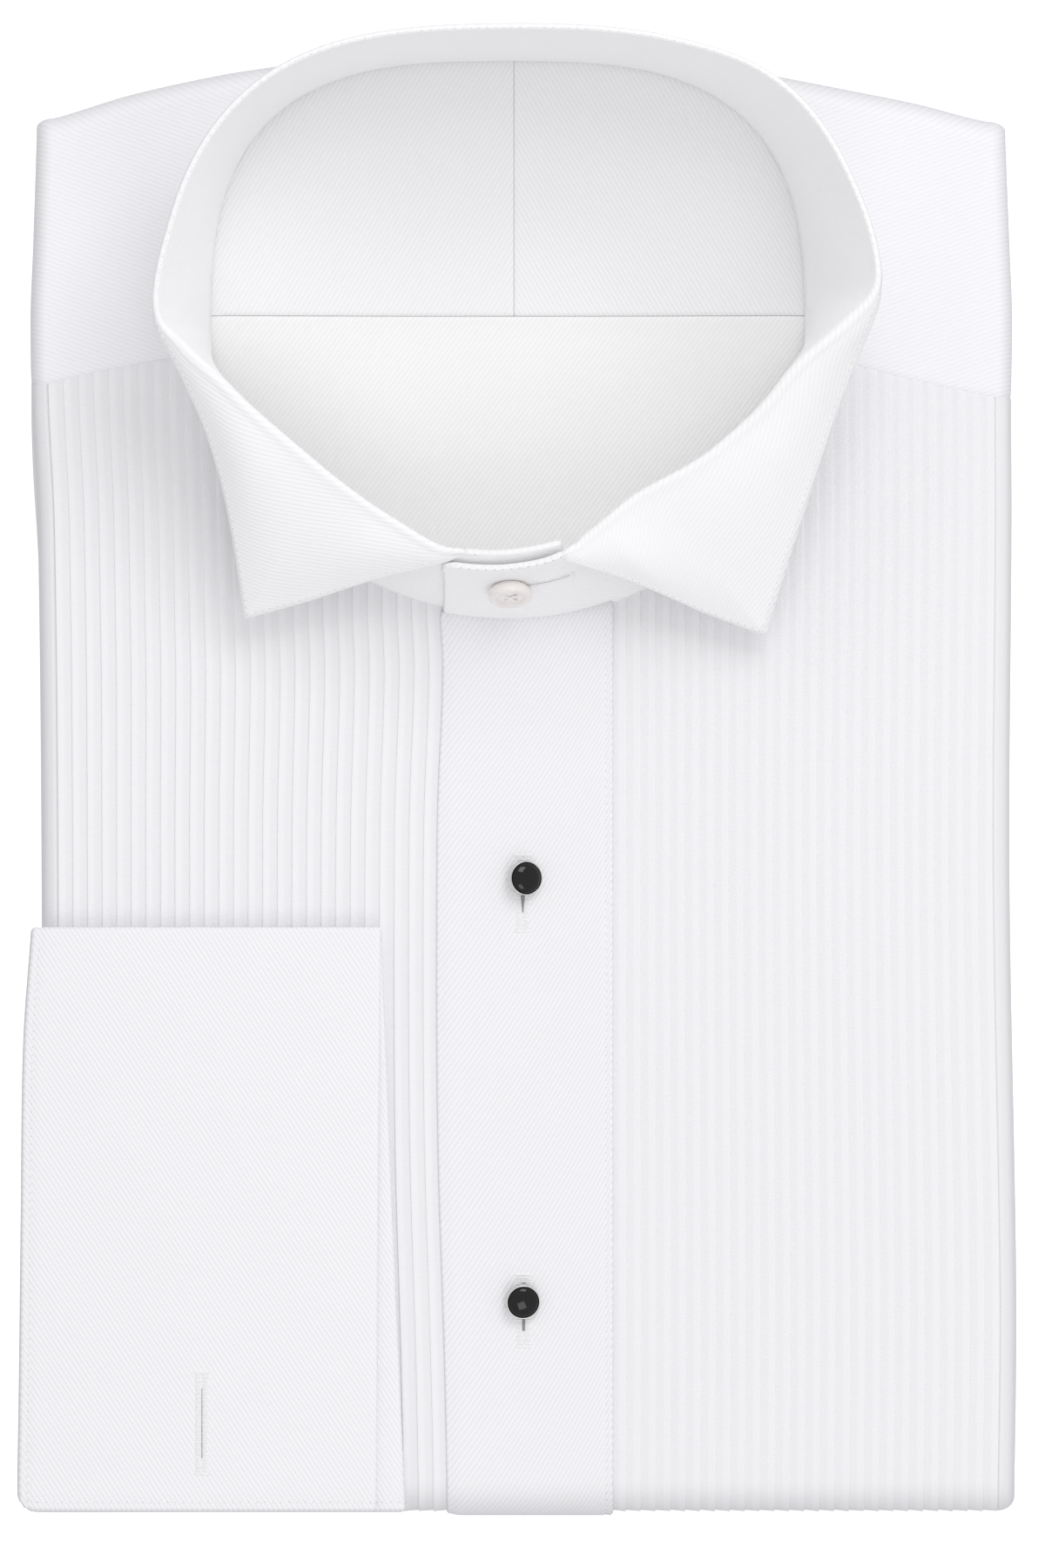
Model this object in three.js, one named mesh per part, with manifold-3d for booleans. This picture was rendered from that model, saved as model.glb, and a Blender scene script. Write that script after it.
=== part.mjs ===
// A folded evening shirt, lying on its back: wing collar, split yoke, pleated fronts, stud placket and one
// French cuff laid on the front. Millimetres. X runs to the viewer's right, Y up the front to the collar, Z up.
// Left and right in the names are the wearer's: the left front is the one with positive X.
import * as THREE from "three";
import { mergeVertices } from "three/addons/utils/BufferGeometryUtils.js";
import Module from "manifold-3d";

const wasm = await Module();
wasm.setup();

const { degToRad, lerp, smoothstep, clamp } = THREE.MathUtils;

// Driving sizes
const CLOTH = 1.4;
const SEAM = 0.3;
const PLEAT_PITCH = 3.43;
const PLEAT_RISE = 0.35;
const PACK_HEIGHT = 17.5;
const SIDE_SINK = 2;
const SHOULDER_SINK = 2.5;
const NECK_RISE = 4.5;
const SIDE_RADIUS = 4;
const SIDE_DEPTH = 0.45;
const HEM_RADIUS = 7.5;
const HEM_LINE = -173.4;
const UNDER_GAP = 0.35;
const CORNER_ROUND = 0.45;
const NECK = { x: -2.2, y: 102.4, across: 70.5, along: 66.1, backSquareness: 3, frontSquareness: 2 };
const NECK_FLOOR = 8;
const INSIDE = { wall: 1.2, clear: 0.6, reach: 1, backReach: 1.08 };
const STAND = { wall: 1.6, foot: 1.2, rows: 4, step: 7.5, underScale: 0.965 };
const PLACKET = { right: 22, wall: 1.3, lift: 1.1 };
const CUFF = { wall: 2.2, radius: 1.1, lift: 0.7, top: -36, bottom: -172.8, innerLeft: -109 };
const SLEEVE = { top: -44, bottom: -166, wall: 1.2, lift: 1.1, depth: 0.9 };
const STUD = { radius: 4.1, height: 2.1, recess: 3.4, floor: 0.9, stone: 3.1, dome: 1.5 };
const BUTTON = { radius: 5.2, height: 2.2, well: 3.4, wellDepth: 0.6, hole: 0.6, holeOffset: 1.2, gap: 0.45 };
// Where the button sits on the band: the turn round the neck, and the share of the way up
const BUTTON_SEAT = { angle: -89.5, share: 0.6 };
const LAYERS = { count: 3, bulge: 1.2, clear: 0.9, dip: 2.4, shoulder: 2.4 };
// How far in the hidden layers stay: their flat top, their shoulder end and their right side
const LAYER_INSET = { top: 5, shoulder: 8, right: 0.6 };
// Where the hidden layers are cut: columns over their width, and rows from the hem to the shoulder
const LAYER_COLUMNS = [0, 0.04, 0.12, 0.22, 0.32, 0.4, 0.5, 0.6, 0.68, 0.78, 0.88, 0.96, 1];
const LAYER_ROWS = [0, 0.06, 0.2, 0.34, 0.46, 0.54, 0.6, 0.64, 0.68, 0.72, 0.76, 0.8, 0.84, 0.88, 0.92, 0.96, 1];

// The pack's side folds, seen from above
const SIDE_FOLDS = [
  { y: -180, left: -111.4, right: 116.6 },
  { y: -165, left: -111.6, right: 117.2 },
  { y: -121, left: -112.0, right: 117.6 },
  { y: -23, left: -112.1, right: 116.0 },
  { y: 59, left: -113.0, right: 116.5 },
  { y: 88, left: -114.4, right: 116.4 },
  { y: 108, left: -114.7, right: 116.6 },
  { y: 124, left: -114.1, right: 116.0 },
  { y: 155, left: -113.1, right: 114.8 },
];
// The fold over the shoulders
const SHOULDER_FOLD = [
  { x: -115, y: 153.2 },
  { x: -107, y: 155.2 },
  { x: -91, y: 160.1 },
  { x: -70, y: 164.7 },
  { x: -54, y: 167.2 },
  { x: -30, y: 171.2 },
  { x: 0, y: 173.2 },
  { x: 28, y: 171.0 },
  { x: 48, y: 167.0 },
  { x: 77, y: 161.4 },
  { x: 94, y: 158.0 },
  { x: 107, y: 154.6 },
  { x: 116, y: 152.8 },
];
// The seam between the front yoke and the pleats, on each side of the neck
const YOKE_SEAM = [
  { x: -115, y: 90.2 },
  { x: -108, y: 92.7 },
  { x: -91, y: 96.4 },
  { x: -72.5, y: 99.0 },
  { x: 70, y: 99.5 },
  { x: 79, y: 96.4 },
  { x: 90, y: 93.5 },
  { x: 104, y: 90.4 },
  { x: 117, y: 87.8 },
];
const INNER_SEAM_Y = 108;
const YOKE_SPLIT_X = -0.8;
// The free left edge of the placket
const PLACKET_EDGE = [
  { y: -176, x: -16.0 },
  { y: -138, x: -16.8 },
  { y: -84, x: -18.4 },
  { y: -13, x: -18.5 },
  { y: 24, x: -17.2 },
  { y: 37, x: -17.8 },
];
// The collar's top line. angle goes round the neck from the wearer's left, lean is out from the neckline, and
// top is above the table. The band's two ends lap at the front: the turn past 240 degrees is the one beneath.
const COLLAR_TOP = [
  { angle: -102.8, lean: -11.6, top: 45.3 },
  { angle: -90, lean: -12.5, top: 46 },
  { angle: -76, lean: -14.2, top: 46.5 },
  { angle: -67, lean: -18.2, top: 47 },
  { angle: -49, lean: -21, top: 48 },
  { angle: -27, lean: -14.7, top: 51 },
  { angle: -15, lean: -9, top: 54 },
  { angle: -5, lean: -2.5, top: 57 },
  { angle: 2, lean: 7.5, top: 59.5 },
  { angle: 7, lean: 15.5, top: 61 },
  { angle: 12, lean: 16.6, top: 62 },
  { angle: 27, lean: 13.2, top: 63 },
  { angle: 45, lean: 10.2, top: 64 },
  { angle: 60, lean: 7.4, top: 64.6 },
  { angle: 90, lean: 6.6, top: 65 },
  { angle: 121, lean: 6.6, top: 64.6 },
  { angle: 141, lean: 7.3, top: 64 },
  { angle: 160, lean: 9.8, top: 63 },
  { angle: 173, lean: 12.2, top: 61.5 },
  { angle: 177.5, lean: 11, top: 60 },
  { angle: 181, lean: 6, top: 58.5 },
  { angle: 189, lean: -3.4, top: 55.5 },
  { angle: 204, lean: -13.1, top: 52 },
  { angle: 220, lean: -17.2, top: 49.5 },
  { angle: 238, lean: -17.6, top: 48 },
  { angle: 256, lean: -15.4, top: 46.5 },
  { angle: 284, lean: -16.9, top: 45.5 },
];
// Each wing hangs from the collar's top line at angle and ends at x, y, z. Its tip is the lowest row.
const LEFT_WING = [
  { angle: 10, x: 85.0, y: 116.4, z: 60.2 },
  { angle: 6.5, x: 84.4, y: 110.3, z: 58 },
  { angle: 2.5, x: 82.6, y: 104.8, z: 55 },
  { angle: -2.5, x: 80.1, y: 98.6, z: 51.5 },
  { angle: -8, x: 76.9, y: 90.6, z: 48 },
  { angle: -15, x: 73.0, y: 79.8, z: 44 },
  { angle: -24, x: 68.6, y: 66.3, z: 39 },
  { angle: -36, x: 63.7, y: 51.0, z: 32.5 },
  { angle: -47, x: 58.2, y: 33.0, z: 25.5 },
  { angle: -57, x: 43.8, y: 38.4, z: 30 },
  { angle: -66, x: 28.0, y: 45.2, z: 38 },
  { angle: -73, x: 12.4, y: 50.3, z: 44.6 },
];
const RIGHT_WING = [
  { angle: 174, x: -85.0, y: 110.0, z: 60.2 },
  { angle: 177.5, x: -84.2, y: 104.4, z: 57.6 },
  { angle: 181, x: -81.2, y: 98.6, z: 54 },
  { angle: 185, x: -77.0, y: 90.2, z: 49.5 },
  { angle: 190, x: -72.8, y: 80.3, z: 45 },
  { angle: 197, x: -69.0, y: 67.4, z: 39.5 },
  { angle: 206, x: -66.2, y: 52.8, z: 33 },
  { angle: 217, x: -64.0, y: 36.9, z: 26 },
  { angle: 229, x: -50.0, y: 40.8, z: 30 },
  { angle: 243, x: -33.4, y: 46.2, z: 37 },
  { angle: 256, x: -16.0, y: 50.4, z: 43.6 },
];
const WING = { wall: 1.4, rows: 4, bow: 2.2, root: 0.6, rootDrop: 0.9, fullWidth: 25 };
// The cuff's left and right edges; the lower leaf shows more of itself towards the bottom
const CUFF_EDGES = [
  { y: -173, left: -117.0, right: -33.2, lowerRight: -26.4 },
  { y: -146, left: -116.6, right: -33.0, lowerRight: -27.6 },
  { y: -105, left: -116.2, right: -32.8, lowerRight: -29.4 },
  { y: -64, left: -115.6, right: -32.4, lowerRight: -31.0 },
  { y: -36, left: -113.6, right: -32.2, lowerRight: -32.2 },
];

const shirt = new THREE.Group();

// A smooth line through a table's rows, read at one column's value
function follow(rows, known, wanted, value) {
  const order = Math.sign(rows[rows.length - 1][known] - rows[0][known]);
  const last = rows.length - 2;
  let i = 0;
  while (i < last && (value - rows[i + 1][known]) * order > 0) i++;
  const slope = (a, b) => (rows[b][wanted] - rows[a][wanted]) / (rows[b][known] - rows[a][known]);
  const span = rows[i + 1][known] - rows[i][known];
  const t = clamp((value - rows[i][known]) / span, 0, 1);
  const start = i > 0 ? slope(i - 1, i + 1) : slope(i, i + 1);
  const end = i < last ? slope(i, i + 2) : slope(i, i + 1);
  const t2 = t * t;
  const t3 = t2 * t;
  return (
    (2 * t3 - 3 * t2 + 1) * rows[i][wanted] +
    (t3 - 2 * t2 + t) * span * start +
    (3 * t2 - 2 * t3) * rows[i + 1][wanted] +
    (t3 - t2) * span * end
  );
}

// The neckline's distance from its middle in one direction
function neckRadius(angle) {
  const power = Math.sin(angle) > 0 ? NECK.backSquareness : NECK.frontSquareness;
  const across = Math.abs(Math.cos(angle) / NECK.across) ** power;
  const along = Math.abs(Math.sin(angle) / NECK.along) ** power;
  return (across + along) ** (-1 / power);
}

// Where a place lies against the neckline: 1 on it, less inside
function neckRatio(x, y) {
  const angle = Math.atan2(y - NECK.y, x - NECK.x);
  return Math.hypot(x - NECK.x, y - NECK.y) / neckRadius(angle);
}

// The y of the neckline, scaled, over one x: the back half for end 1, the front half for end -1
function necklineY(x, scale, end) {
  const power = end > 0 ? NECK.backSquareness : NECK.frontSquareness;
  const across = Math.abs((x - NECK.x) / (NECK.across * scale)) ** power;
  return NECK.y + end * NECK.along * scale * Math.max(1 - across, 0) ** (1 / power);
}

// The top of the cloth that lies on the pack
function packHeight(x, y) {
  const side = SIDE_SINK * (x / 115) ** 4;
  const shoulder = SHOULDER_SINK * smoothstep(y, 100, 170);
  return PACK_HEIGHT - side - shoulder + NECK_RISE * (1 - smoothstep(neckRatio(x, y), 1, 1.5));
}

// The inside of the back, seen down the neck
function neckFloor(x, y) {
  const climb = smoothstep(neckRatio(x, y), 0.3, 1.02) * smoothstep(y, 60, INNER_SEAM_Y);
  return lerp(NECK_FLOOR, packHeight(x, y) - CLOTH - INSIDE.clear, climb);
}

// A point of a layer on the pack, sunk below its top. roll turns it down over a side, fold over an end.
function packPoint({ x, y, side = 0, roll = 0, depth = SIDE_DEPTH, end = 0, radius = 0, fold = 0, sink = 0 }) {
  const top = packHeight(x, y);
  const drop = depth * top;
  const level = top - drop + (drop - sink) * Math.cos(roll);
  const crown = top - drop * (1 - Math.cos(roll));
  const middle = crown / 2 + UNDER_GAP;
  const corner = 1 - CORNER_ROUND * (1 - Math.cos(roll));
  return new THREE.Vector3(
    x + side * (SIDE_RADIUS - sink) * Math.sin(roll),
    y + end * (radius - sink) * Math.sin(fold) * corner,
    middle + (level - middle) * Math.cos(fold),
  );
}

// Triangles between two edges that run the same way, with any number of points each
function zip(first, second, triangles) {
  let i = 0;
  let j = 0;
  while (i < first.length - 1 || j < second.length - 1) {
    if ((i + 1) * (second.length - 1) <= (j + 1) * (first.length - 1)) {
      triangles.push(first[i], second[j], first[i + 1]);
      i++;
    } else {
      triangles.push(first[i], second[j], second[j + 1]);
      j++;
    }
  }
}

function fillGrid(grid, triangles, flipped) {
  for (let i = 0; i < grid.length - 1; i++) {
    for (let j = 0; j < grid[i].length - 1; j++) {
      const corners = [grid[i][j], grid[i][j + 1], grid[i + 1][j + 1], grid[i + 1][j]];
      if (flipped) corners.reverse();
      triangles.push(corners[0], corners[1], corners[2], corners[0], corners[2], corners[3]);
    }
  }
}

// A closed geometry from a list of triangle corners, turned to face out
function closed(triangles) {
  let volume = 0;
  for (let i = 0; i < triangles.length; i += 3) {
    volume += triangles[i].dot(triangles[i + 1].clone().cross(triangles[i + 2]));
  }
  if (volume < 0) triangles.reverse();
  return mergeVertices(new THREE.BufferGeometry().setFromPoints(triangles), 1e-4);
}

// A cloth wall between two grids of points with the same rows
function wall(outer, inner) {
  const triangles = [];
  fillGrid(outer, triangles, false);
  fillGrid(inner, triangles, true);
  const firstOf = (grid) => grid.map((row) => row[0]);
  const lastOf = (grid) => grid.map((row) => row[row.length - 1]);
  const bottom = outer.length - 1;
  zip(outer[0], inner[0], triangles);
  zip(inner[bottom], outer[bottom], triangles);
  zip(firstOf(inner), firstOf(outer), triangles);
  zip(lastOf(outer), lastOf(inner), triangles);
  return closed(triangles);
}

// A solid through closed loops of points, its two end faces filled across x and z
function loft(loops) {
  const triangles = [];
  fillGrid(loops.map((loop) => [...loop, loop[0]]), triangles, false);
  const cap = (loop, withLoop) => {
    const flat = loop.map((p) => new THREE.Vector2(p.x, p.z));
    for (const face of THREE.ShapeUtils.triangulateShape(flat, [])) {
      const { isClockWise } = THREE.ShapeUtils;
      const sameWay = isClockWise(face.map((k) => flat[k])) === isClockWise(flat);
      const corners = face.map((k) => loop[k]);
      if (sameWay !== withLoop) corners.reverse();
      triangles.push(...corners);
    }
  };
  cap(loops[0], false);
  cap(loops[loops.length - 1], true);
  return closed(triangles);
}

function add(name, geometry, colour = 0xf6f6fa, roughness = 0.8, metalness = 0) {
  const material = new THREE.MeshStandardMaterial({ color: colour, roughness, metalness });
  const mesh = new THREE.Mesh(geometry, material);
  mesh.name = name;
  shirt.add(mesh);
  return mesh;
}

function solidOf(geometry) {
  const bare = geometry.clone();
  bare.deleteAttribute("normal");
  bare.deleteAttribute("uv");
  const merged = mergeVertices(bare, 1e-4);
  const triVerts = new Uint32Array(merged.index.array);
  const vertProperties = merged.attributes.position.array;
  return new wasm.Manifold(new wasm.Mesh({ numProp: 3, vertProperties, triVerts }));
}

function geometryOf(solid) {
  const mesh = solid.getMesh();
  const geometry = new THREE.BufferGeometry();
  geometry.setAttribute("position", new THREE.BufferAttribute(mesh.vertProperties, 3));
  geometry.setIndex(new THREE.BufferAttribute(mesh.triVerts, 1));
  return geometry;
}

const ROLLS = [25, 50, 75, 96].map(degToRad);

// The x of a place across a front or yoke: 0 at its inner edge, 1 where the side roll starts
function acrossX(side, inner, share, y) {
  const edge = follow(SIDE_FOLDS, "y", side > 0 ? "right" : "left", y) - side * SIDE_RADIUS;
  return lerp(inner(y), edge, share);
}

// Columns across a pleated front: each pleat climbs outwards and drops at its fold
function pleatColumns(count) {
  const columns = [];
  for (let k = 0; k < count; k++) {
    columns.push({ share: (k + 0.02) / count, raise: -PLEAT_RISE });
    columns.push({ share: (k + 0.98) / count, raise: PLEAT_RISE });
  }
  return columns;
}

function spread(from, to, count) {
  return Array.from({ length: count + 1 }, (_, k) => lerp(from, to, k / count));
}

function plainColumns(count) {
  return Array.from({ length: count + 1 }, (_, k) => ({ share: k / count, raise: 0 }));
}

const rollColumns = () => ROLLS.map((roll) => ({ share: 1, raise: 0, roll }));

// A front or yoke as a wall: rows run from its top or inner line to a fold at the hem or shoulder, and round it
function panelGrid({ side, inner, columns, rows, folds, end, start, finish, radius, sink }) {
  const place = (column, share) => {
    let y = NECK.y;
    let x = 0;
    for (let pass = 0; pass < 4; pass++) {
      x = column.x ? column.x(y) : acrossX(side, inner, column.share, y);
      y = lerp(start(x), finish(x), share);
    }
    return { x, y, side, roll: column.roll || 0, sink: sink - column.raise };
  };
  const flat = rows.map((share) => columns.map((column) => packPoint(place(column, share))));
  const turned = folds.map((fold) =>
    columns.map((column) => {
      const at = place(column, 1);
      return packPoint({ ...at, end, fold: degToRad(fold), radius: radius(at.x) });
    }),
  );
  return [...flat, ...turned];
}

const FRONT_ROWS = [0, 0.045, 0.11, 0.2, 0.36, 0.65, 1];
const HEM_FOLDS = [35, 68, 100, 130, 158];
// The gap in the neckline's scale between the stand's outer face and the panels sewn to it
const NECK_CLEAR = (STAND.wall / 2 + SEAM + 0.4) / NECK.along;

// How far in the neckline runs: the lapped end of the band lies inside the other
function bandScale(x, side) {
  if (side > 0) return 1;
  return 1 - (1 - STAND.underScale) * smoothstep(x, -52, -34) * (1 - smoothstep(x, -19.4, -18.4));
}

function frontStart(side) {
  return (x) => {
    const scale = bandScale(x, side) + NECK_CLEAR;
    const beyond = Math.abs(x - NECK.x) >= NECK.across * scale;
    return beyond ? follow(YOKE_SEAM, "x", "y", x) - SEAM : necklineY(x, scale, -1);
  };
}

function makeFront(name, side, inner, strip) {
  const width = Math.abs(acrossX(side, inner, 1, 0) - inner(0));
  const pleats = Math.round(width / PLEAT_PITCH);
  const shared = {
    side,
    inner,
    rows: FRONT_ROWS,
    folds: HEM_FOLDS,
    end: -1,
    start: frontStart(side),
    finish: () => HEM_LINE + HEM_RADIUS,
    radius: () => HEM_RADIUS,
  };
  const outer = [...strip, ...pleatColumns(pleats), ...rollColumns()];
  const under = [...strip, ...plainColumns(pleats), ...rollColumns()];
  const face = panelGrid({ ...shared, columns: outer, sink: 0 });
  const back = panelGrid({ ...shared, columns: under, sink: CLOTH });
  add(name, wall(face, back));
}

const placketLeft = (y) => follow(PLACKET_EDGE, "y", "x", y);

// The right front runs on beneath the placket as a plain strip
const STRIP = { right: 17, sink: 0.5, gap: 0.2, shares: [0, 0.25, 0.45, 0.65, 0.8, 0.9, 0.985, 1] };
const tucked = STRIP.shares.map((share) => ({
  x: (y) => lerp(STRIP.right, placketLeft(y) - STRIP.gap, share),
  raise: -STRIP.sink,
}));
makeFront("front_right", -1, (y) => placketLeft(y) - STRIP.sink, tucked);
makeFront("front_left", 1, () => PLACKET.right + SEAM, []);

function makePlacket() {
  const columns = spread(0, 1, 6).map((share) => {
    return { x: (y) => lerp(placketLeft(y), PLACKET.right, share), raise: 0 };
  });
  const shared = {
    side: 1,
    columns,
    rows: FRONT_ROWS,
    folds: HEM_FOLDS,
    end: -1,
    start: frontStart(1),
    finish: () => HEM_LINE + HEM_RADIUS,
    radius: () => HEM_RADIUS,
  };
  const outer = panelGrid({ ...shared, sink: -PLACKET.lift });
  const inner = panelGrid({ ...shared, sink: PLACKET.wall - PLACKET.lift });
  add("placket", wall(outer, inner));
}
makePlacket();

const YOKE_ROWS = [0, 0.12, 0.28, 0.5, 0.75, 1];
const SHOULDER_FOLDS = [30, 60, 90, 120, 150, 168];
const SHOULDER_RADIUS = 5;
// The yoke runs on at least this far past the neckline before it folds
const YOKE_MARGIN = 0.4;

function makeYoke(name, side) {
  const start = (x) => {
    const beyond = Math.abs(x - NECK.x) >= NECK.across * (1 + NECK_CLEAR);
    return beyond ? follow(YOKE_SEAM, "x", "y", x) : necklineY(x, 1 + NECK_CLEAR, 1);
  };
  const fold = (x) => follow(SHOULDER_FOLD, "x", "y", x);
  const finish = (x) => Math.max(fold(x) - SHOULDER_RADIUS, start(x) + YOKE_MARGIN);
  const inner = () => YOKE_SPLIT_X + (side * SEAM) / 2;
  const aroundNeck = [88, 76, 64, 54, 44, 34, 23, 11, 0].map((angle) => {
    const turn = degToRad(side > 0 ? angle : 180 - angle);
    const x = NECK.x + neckRadius(turn) * (1 + NECK_CLEAR) * Math.cos(turn);
    return { x: () => x, raise: 0 };
  });
  const neckSide = NECK.x + side * NECK.across * (1 + NECK_CLEAR);
  const beside = spread(0.01, 1, 5).map((share) => {
    return { x: (y) => acrossX(side, () => neckSide, share, y), raise: 0 };
  });
  const columns = [{ share: 0, raise: 0 }, ...aroundNeck, ...beside, ...rollColumns()];
  const shared = {
    side,
    inner,
    columns,
    rows: YOKE_ROWS,
    folds: SHOULDER_FOLDS,
    end: 1,
    start,
    finish,
    radius: (x) => fold(x) - finish(x),
  };
  add(name, wall(panelGrid({ ...shared, sink: 0 }), panelGrid({ ...shared, sink: CLOTH })));
}
makeYoke("yoke_right", -1);
makeYoke("yoke_left", 1);

// The inside of the yoke and of the back, seen down the neck
function makeInside(name, columns, rows, lineY) {
  const grid = (sink) =>
    rows.map((share) =>
      columns.map((x) => {
        const y = lerp(lineY(x).from, lineY(x).to, share);
        return new THREE.Vector3(x, y, neckFloor(x, y) - sink);
      }),
    );
  add(name, wall(grid(0), grid(INSIDE.wall)));
}

const insideLeft = NECK.x - NECK.across * (INSIDE.reach - 0.001);
const insideRight = NECK.x + NECK.across * (INSIDE.reach - 0.001);
const liningLine = (x) => {
  const top = necklineY(x, INSIDE.reach, 1);
  return { from: INNER_SEAM_Y + SEAM, to: Math.max(top, INNER_SEAM_Y + 3) };
};
const backLine = (x) => ({ from: necklineY(x, INSIDE.backReach, -1), to: INNER_SEAM_Y });
const liningRows = spread(0, 1, 6);
makeInside("yoke_lining_right", spread(insideLeft, YOKE_SPLIT_X - SEAM / 2, 8), liningRows, liningLine);
makeInside("yoke_lining_left", spread(YOKE_SPLIT_X + SEAM / 2, insideRight, 8), liningRows, liningLine);
makeInside("back", spread(insideLeft, insideRight, 12), spread(0, 1, 7), backLine);

// The layers hidden in the pack, as one rounded solid with rolled layers down its sides
function coreTop(x, y) {
  const under = packHeight(x, y) - CLOTH - LAYERS.clear;
  const beside = neckFloor(x, y) - INSIDE.wall - LAYERS.dip;
  return lerp(Math.min(beside, under), under, smoothstep(neckRatio(x, y), 1.2, 1.45));
}

function makeLayers() {
  const hemLine = HEM_LINE + HEM_RADIUS;
  const shoulderLine = (x) => follow(SHOULDER_FOLD, "x", "y", x) - LAYER_INSET.shoulder;
  const section = (share, shrink, reach, narrow = 0) => {
    const yOf = (x) => lerp(hemLine, shoulderLine(x), share) + reach;
    const middleY = clamp(yOf(0), -170, 150);
    const left = follow(SIDE_FOLDS, "y", "left", middleY) + narrow;
    const right = follow(SIDE_FOLDS, "y", "right", middleY) - LAYER_INSET.right - narrow;
    const across = LAYER_COLUMNS.map((share) => lerp(left + LAYER_INSET.top, right - LAYER_INSET.top, share));
    const loop = [];
    const point = (x, z) => {
      const y = yOf(x);
      const mid = packHeight(x, y) / 2;
      loop.push(new THREE.Vector3(x, y, shrink ? lerp(z, mid, shrink) : z));
    };
    const bulges = (edge, side, upwards) => {
      const y = yOf(edge);
      const total = packHeight(edge, y) / 2 - 1;
      const height = total / LAYERS.count;
      const levels = [];
      for (let k = 0; k < LAYERS.count; k++) {
        for (const turn of [-65, 0, 65]) {
          const out = LAYERS.bulge * (Math.cos(degToRad(turn)) - 1);
          levels.push({ x: edge + side * out, z: (k + 0.5 + Math.sin(degToRad(turn)) / 2) * height + 0.15 });
        }
      }
      levels.push({ x: edge - side * LAYERS.shoulder, z: total + 0.3 });
      if (!upwards) levels.reverse();
      levels.forEach((p) => point(p.x, p.z));
    };
    across.forEach((x) => point(x, 0));
    bulges(right, 1, true);
    across.reverse().forEach((x) => point(x, coreTop(x, yOf(x))));
    bulges(left, -1, false);
    return loop;
  };
  const loops = [section(0, 0.6, -4, 4), section(0, 0.34, -1.4, 2)];
  LAYER_ROWS.forEach((share) => loops.push(section(share, 0, 0.6 * (1 - share))));
  loops.push(section(1, 0.35, 2));
  add("folded_layers", loft(loops));
}
makeLayers();

// A point on the collar's stand: share 0 at its foot, 1 at its top line; out is across the wall
function standPoint(angle, share, out) {
  const turn = degToRad(angle);
  const scale = angle > 180 ? 1 - (1 - STAND.underScale) * smoothstep(angle, 228, 244) : 1;
  const radius = neckRadius(turn);
  const foot = radius * scale;
  const footX = NECK.x + foot * Math.cos(turn);
  const footY = NECK.y + foot * Math.sin(turn);
  const footZ = packHeight(footX, footY) - STAND.foot;
  const head = radius + follow(COLLAR_TOP, "angle", "lean", angle);
  const headZ = follow(COLLAR_TOP, "angle", "top", angle);
  const length = Math.hypot(head - foot, headZ - footZ);
  const outwards = (headZ - footZ) / length;
  const upwards = (foot - head) / length;
  const reach = lerp(foot, head, share) + out * outwards;
  const z = lerp(footZ, headZ, share) + out * upwards;
  return new THREE.Vector3(NECK.x + reach * Math.cos(turn), NECK.y + reach * Math.sin(turn), z);
}

function makeStand() {
  const first = COLLAR_TOP[0].angle;
  const last = COLLAR_TOP[COLLAR_TOP.length - 1].angle;
  const angles = spread(first, last, Math.round((last - first) / STAND.step));
  const shares = spread(0, 1, STAND.rows);
  const grid = (out) => shares.map((share) => angles.map((angle) => standPoint(angle, share, out)));
  return wall(grid(STAND.wall / 2), grid(-STAND.wall / 2));
}

function makeWing(rows) {
  const shares = spread(0, 1, WING.rows);
  const middle = rows.map((row) => {
    const top = standPoint(row.angle, 1, 0);
    const edge = new THREE.Vector3(row.x, row.y, row.z);
    const inwards = top.clone().sub(edge).setLength(WING.root);
    const crease = top.clone().add(inwards);
    crease.z = top.z - WING.rootDrop;
    const width = top.distanceTo(edge);
    return shares.map((share) => {
      const p = crease.clone().lerp(edge, share);
      p.z += WING.bow * Math.sin(Math.PI * share) * clamp(width / WING.fullWidth, 0, 1);
      return p;
    });
  });
  const shift = (side) =>
    middle.map((row, i) =>
      row.map((p, j) => {
        const before = middle[Math.max(i - 1, 0)][j];
        const after = middle[Math.min(i + 1, middle.length - 1)][j];
        const along = after.clone().sub(before);
        const down = row[Math.min(j + 1, row.length - 1)].clone().sub(row[Math.max(j - 1, 0)]);
        const normal = along.cross(down).normalize();
        if (normal.z < 0) normal.negate();
        return p.clone().addScaledVector(normal, (side * WING.wall) / 2);
      }),
    );
  return wall(shift(1), shift(-1));
}

const wings = [LEFT_WING, RIGHT_WING].map((rows) => solidOf(makeWing(rows)));
add("collar", geometryOf(solidOf(makeStand()).add(wings[0]).add(wings[1])));

// A turned piece, its axis set upright on a surface
function turned(profile, segments = 20) {
  const points = profile.map(([r, h]) => new THREE.Vector2(r, h));
  return new THREE.LatheGeometry(points, segments).rotateX(Math.PI / 2);
}

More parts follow.
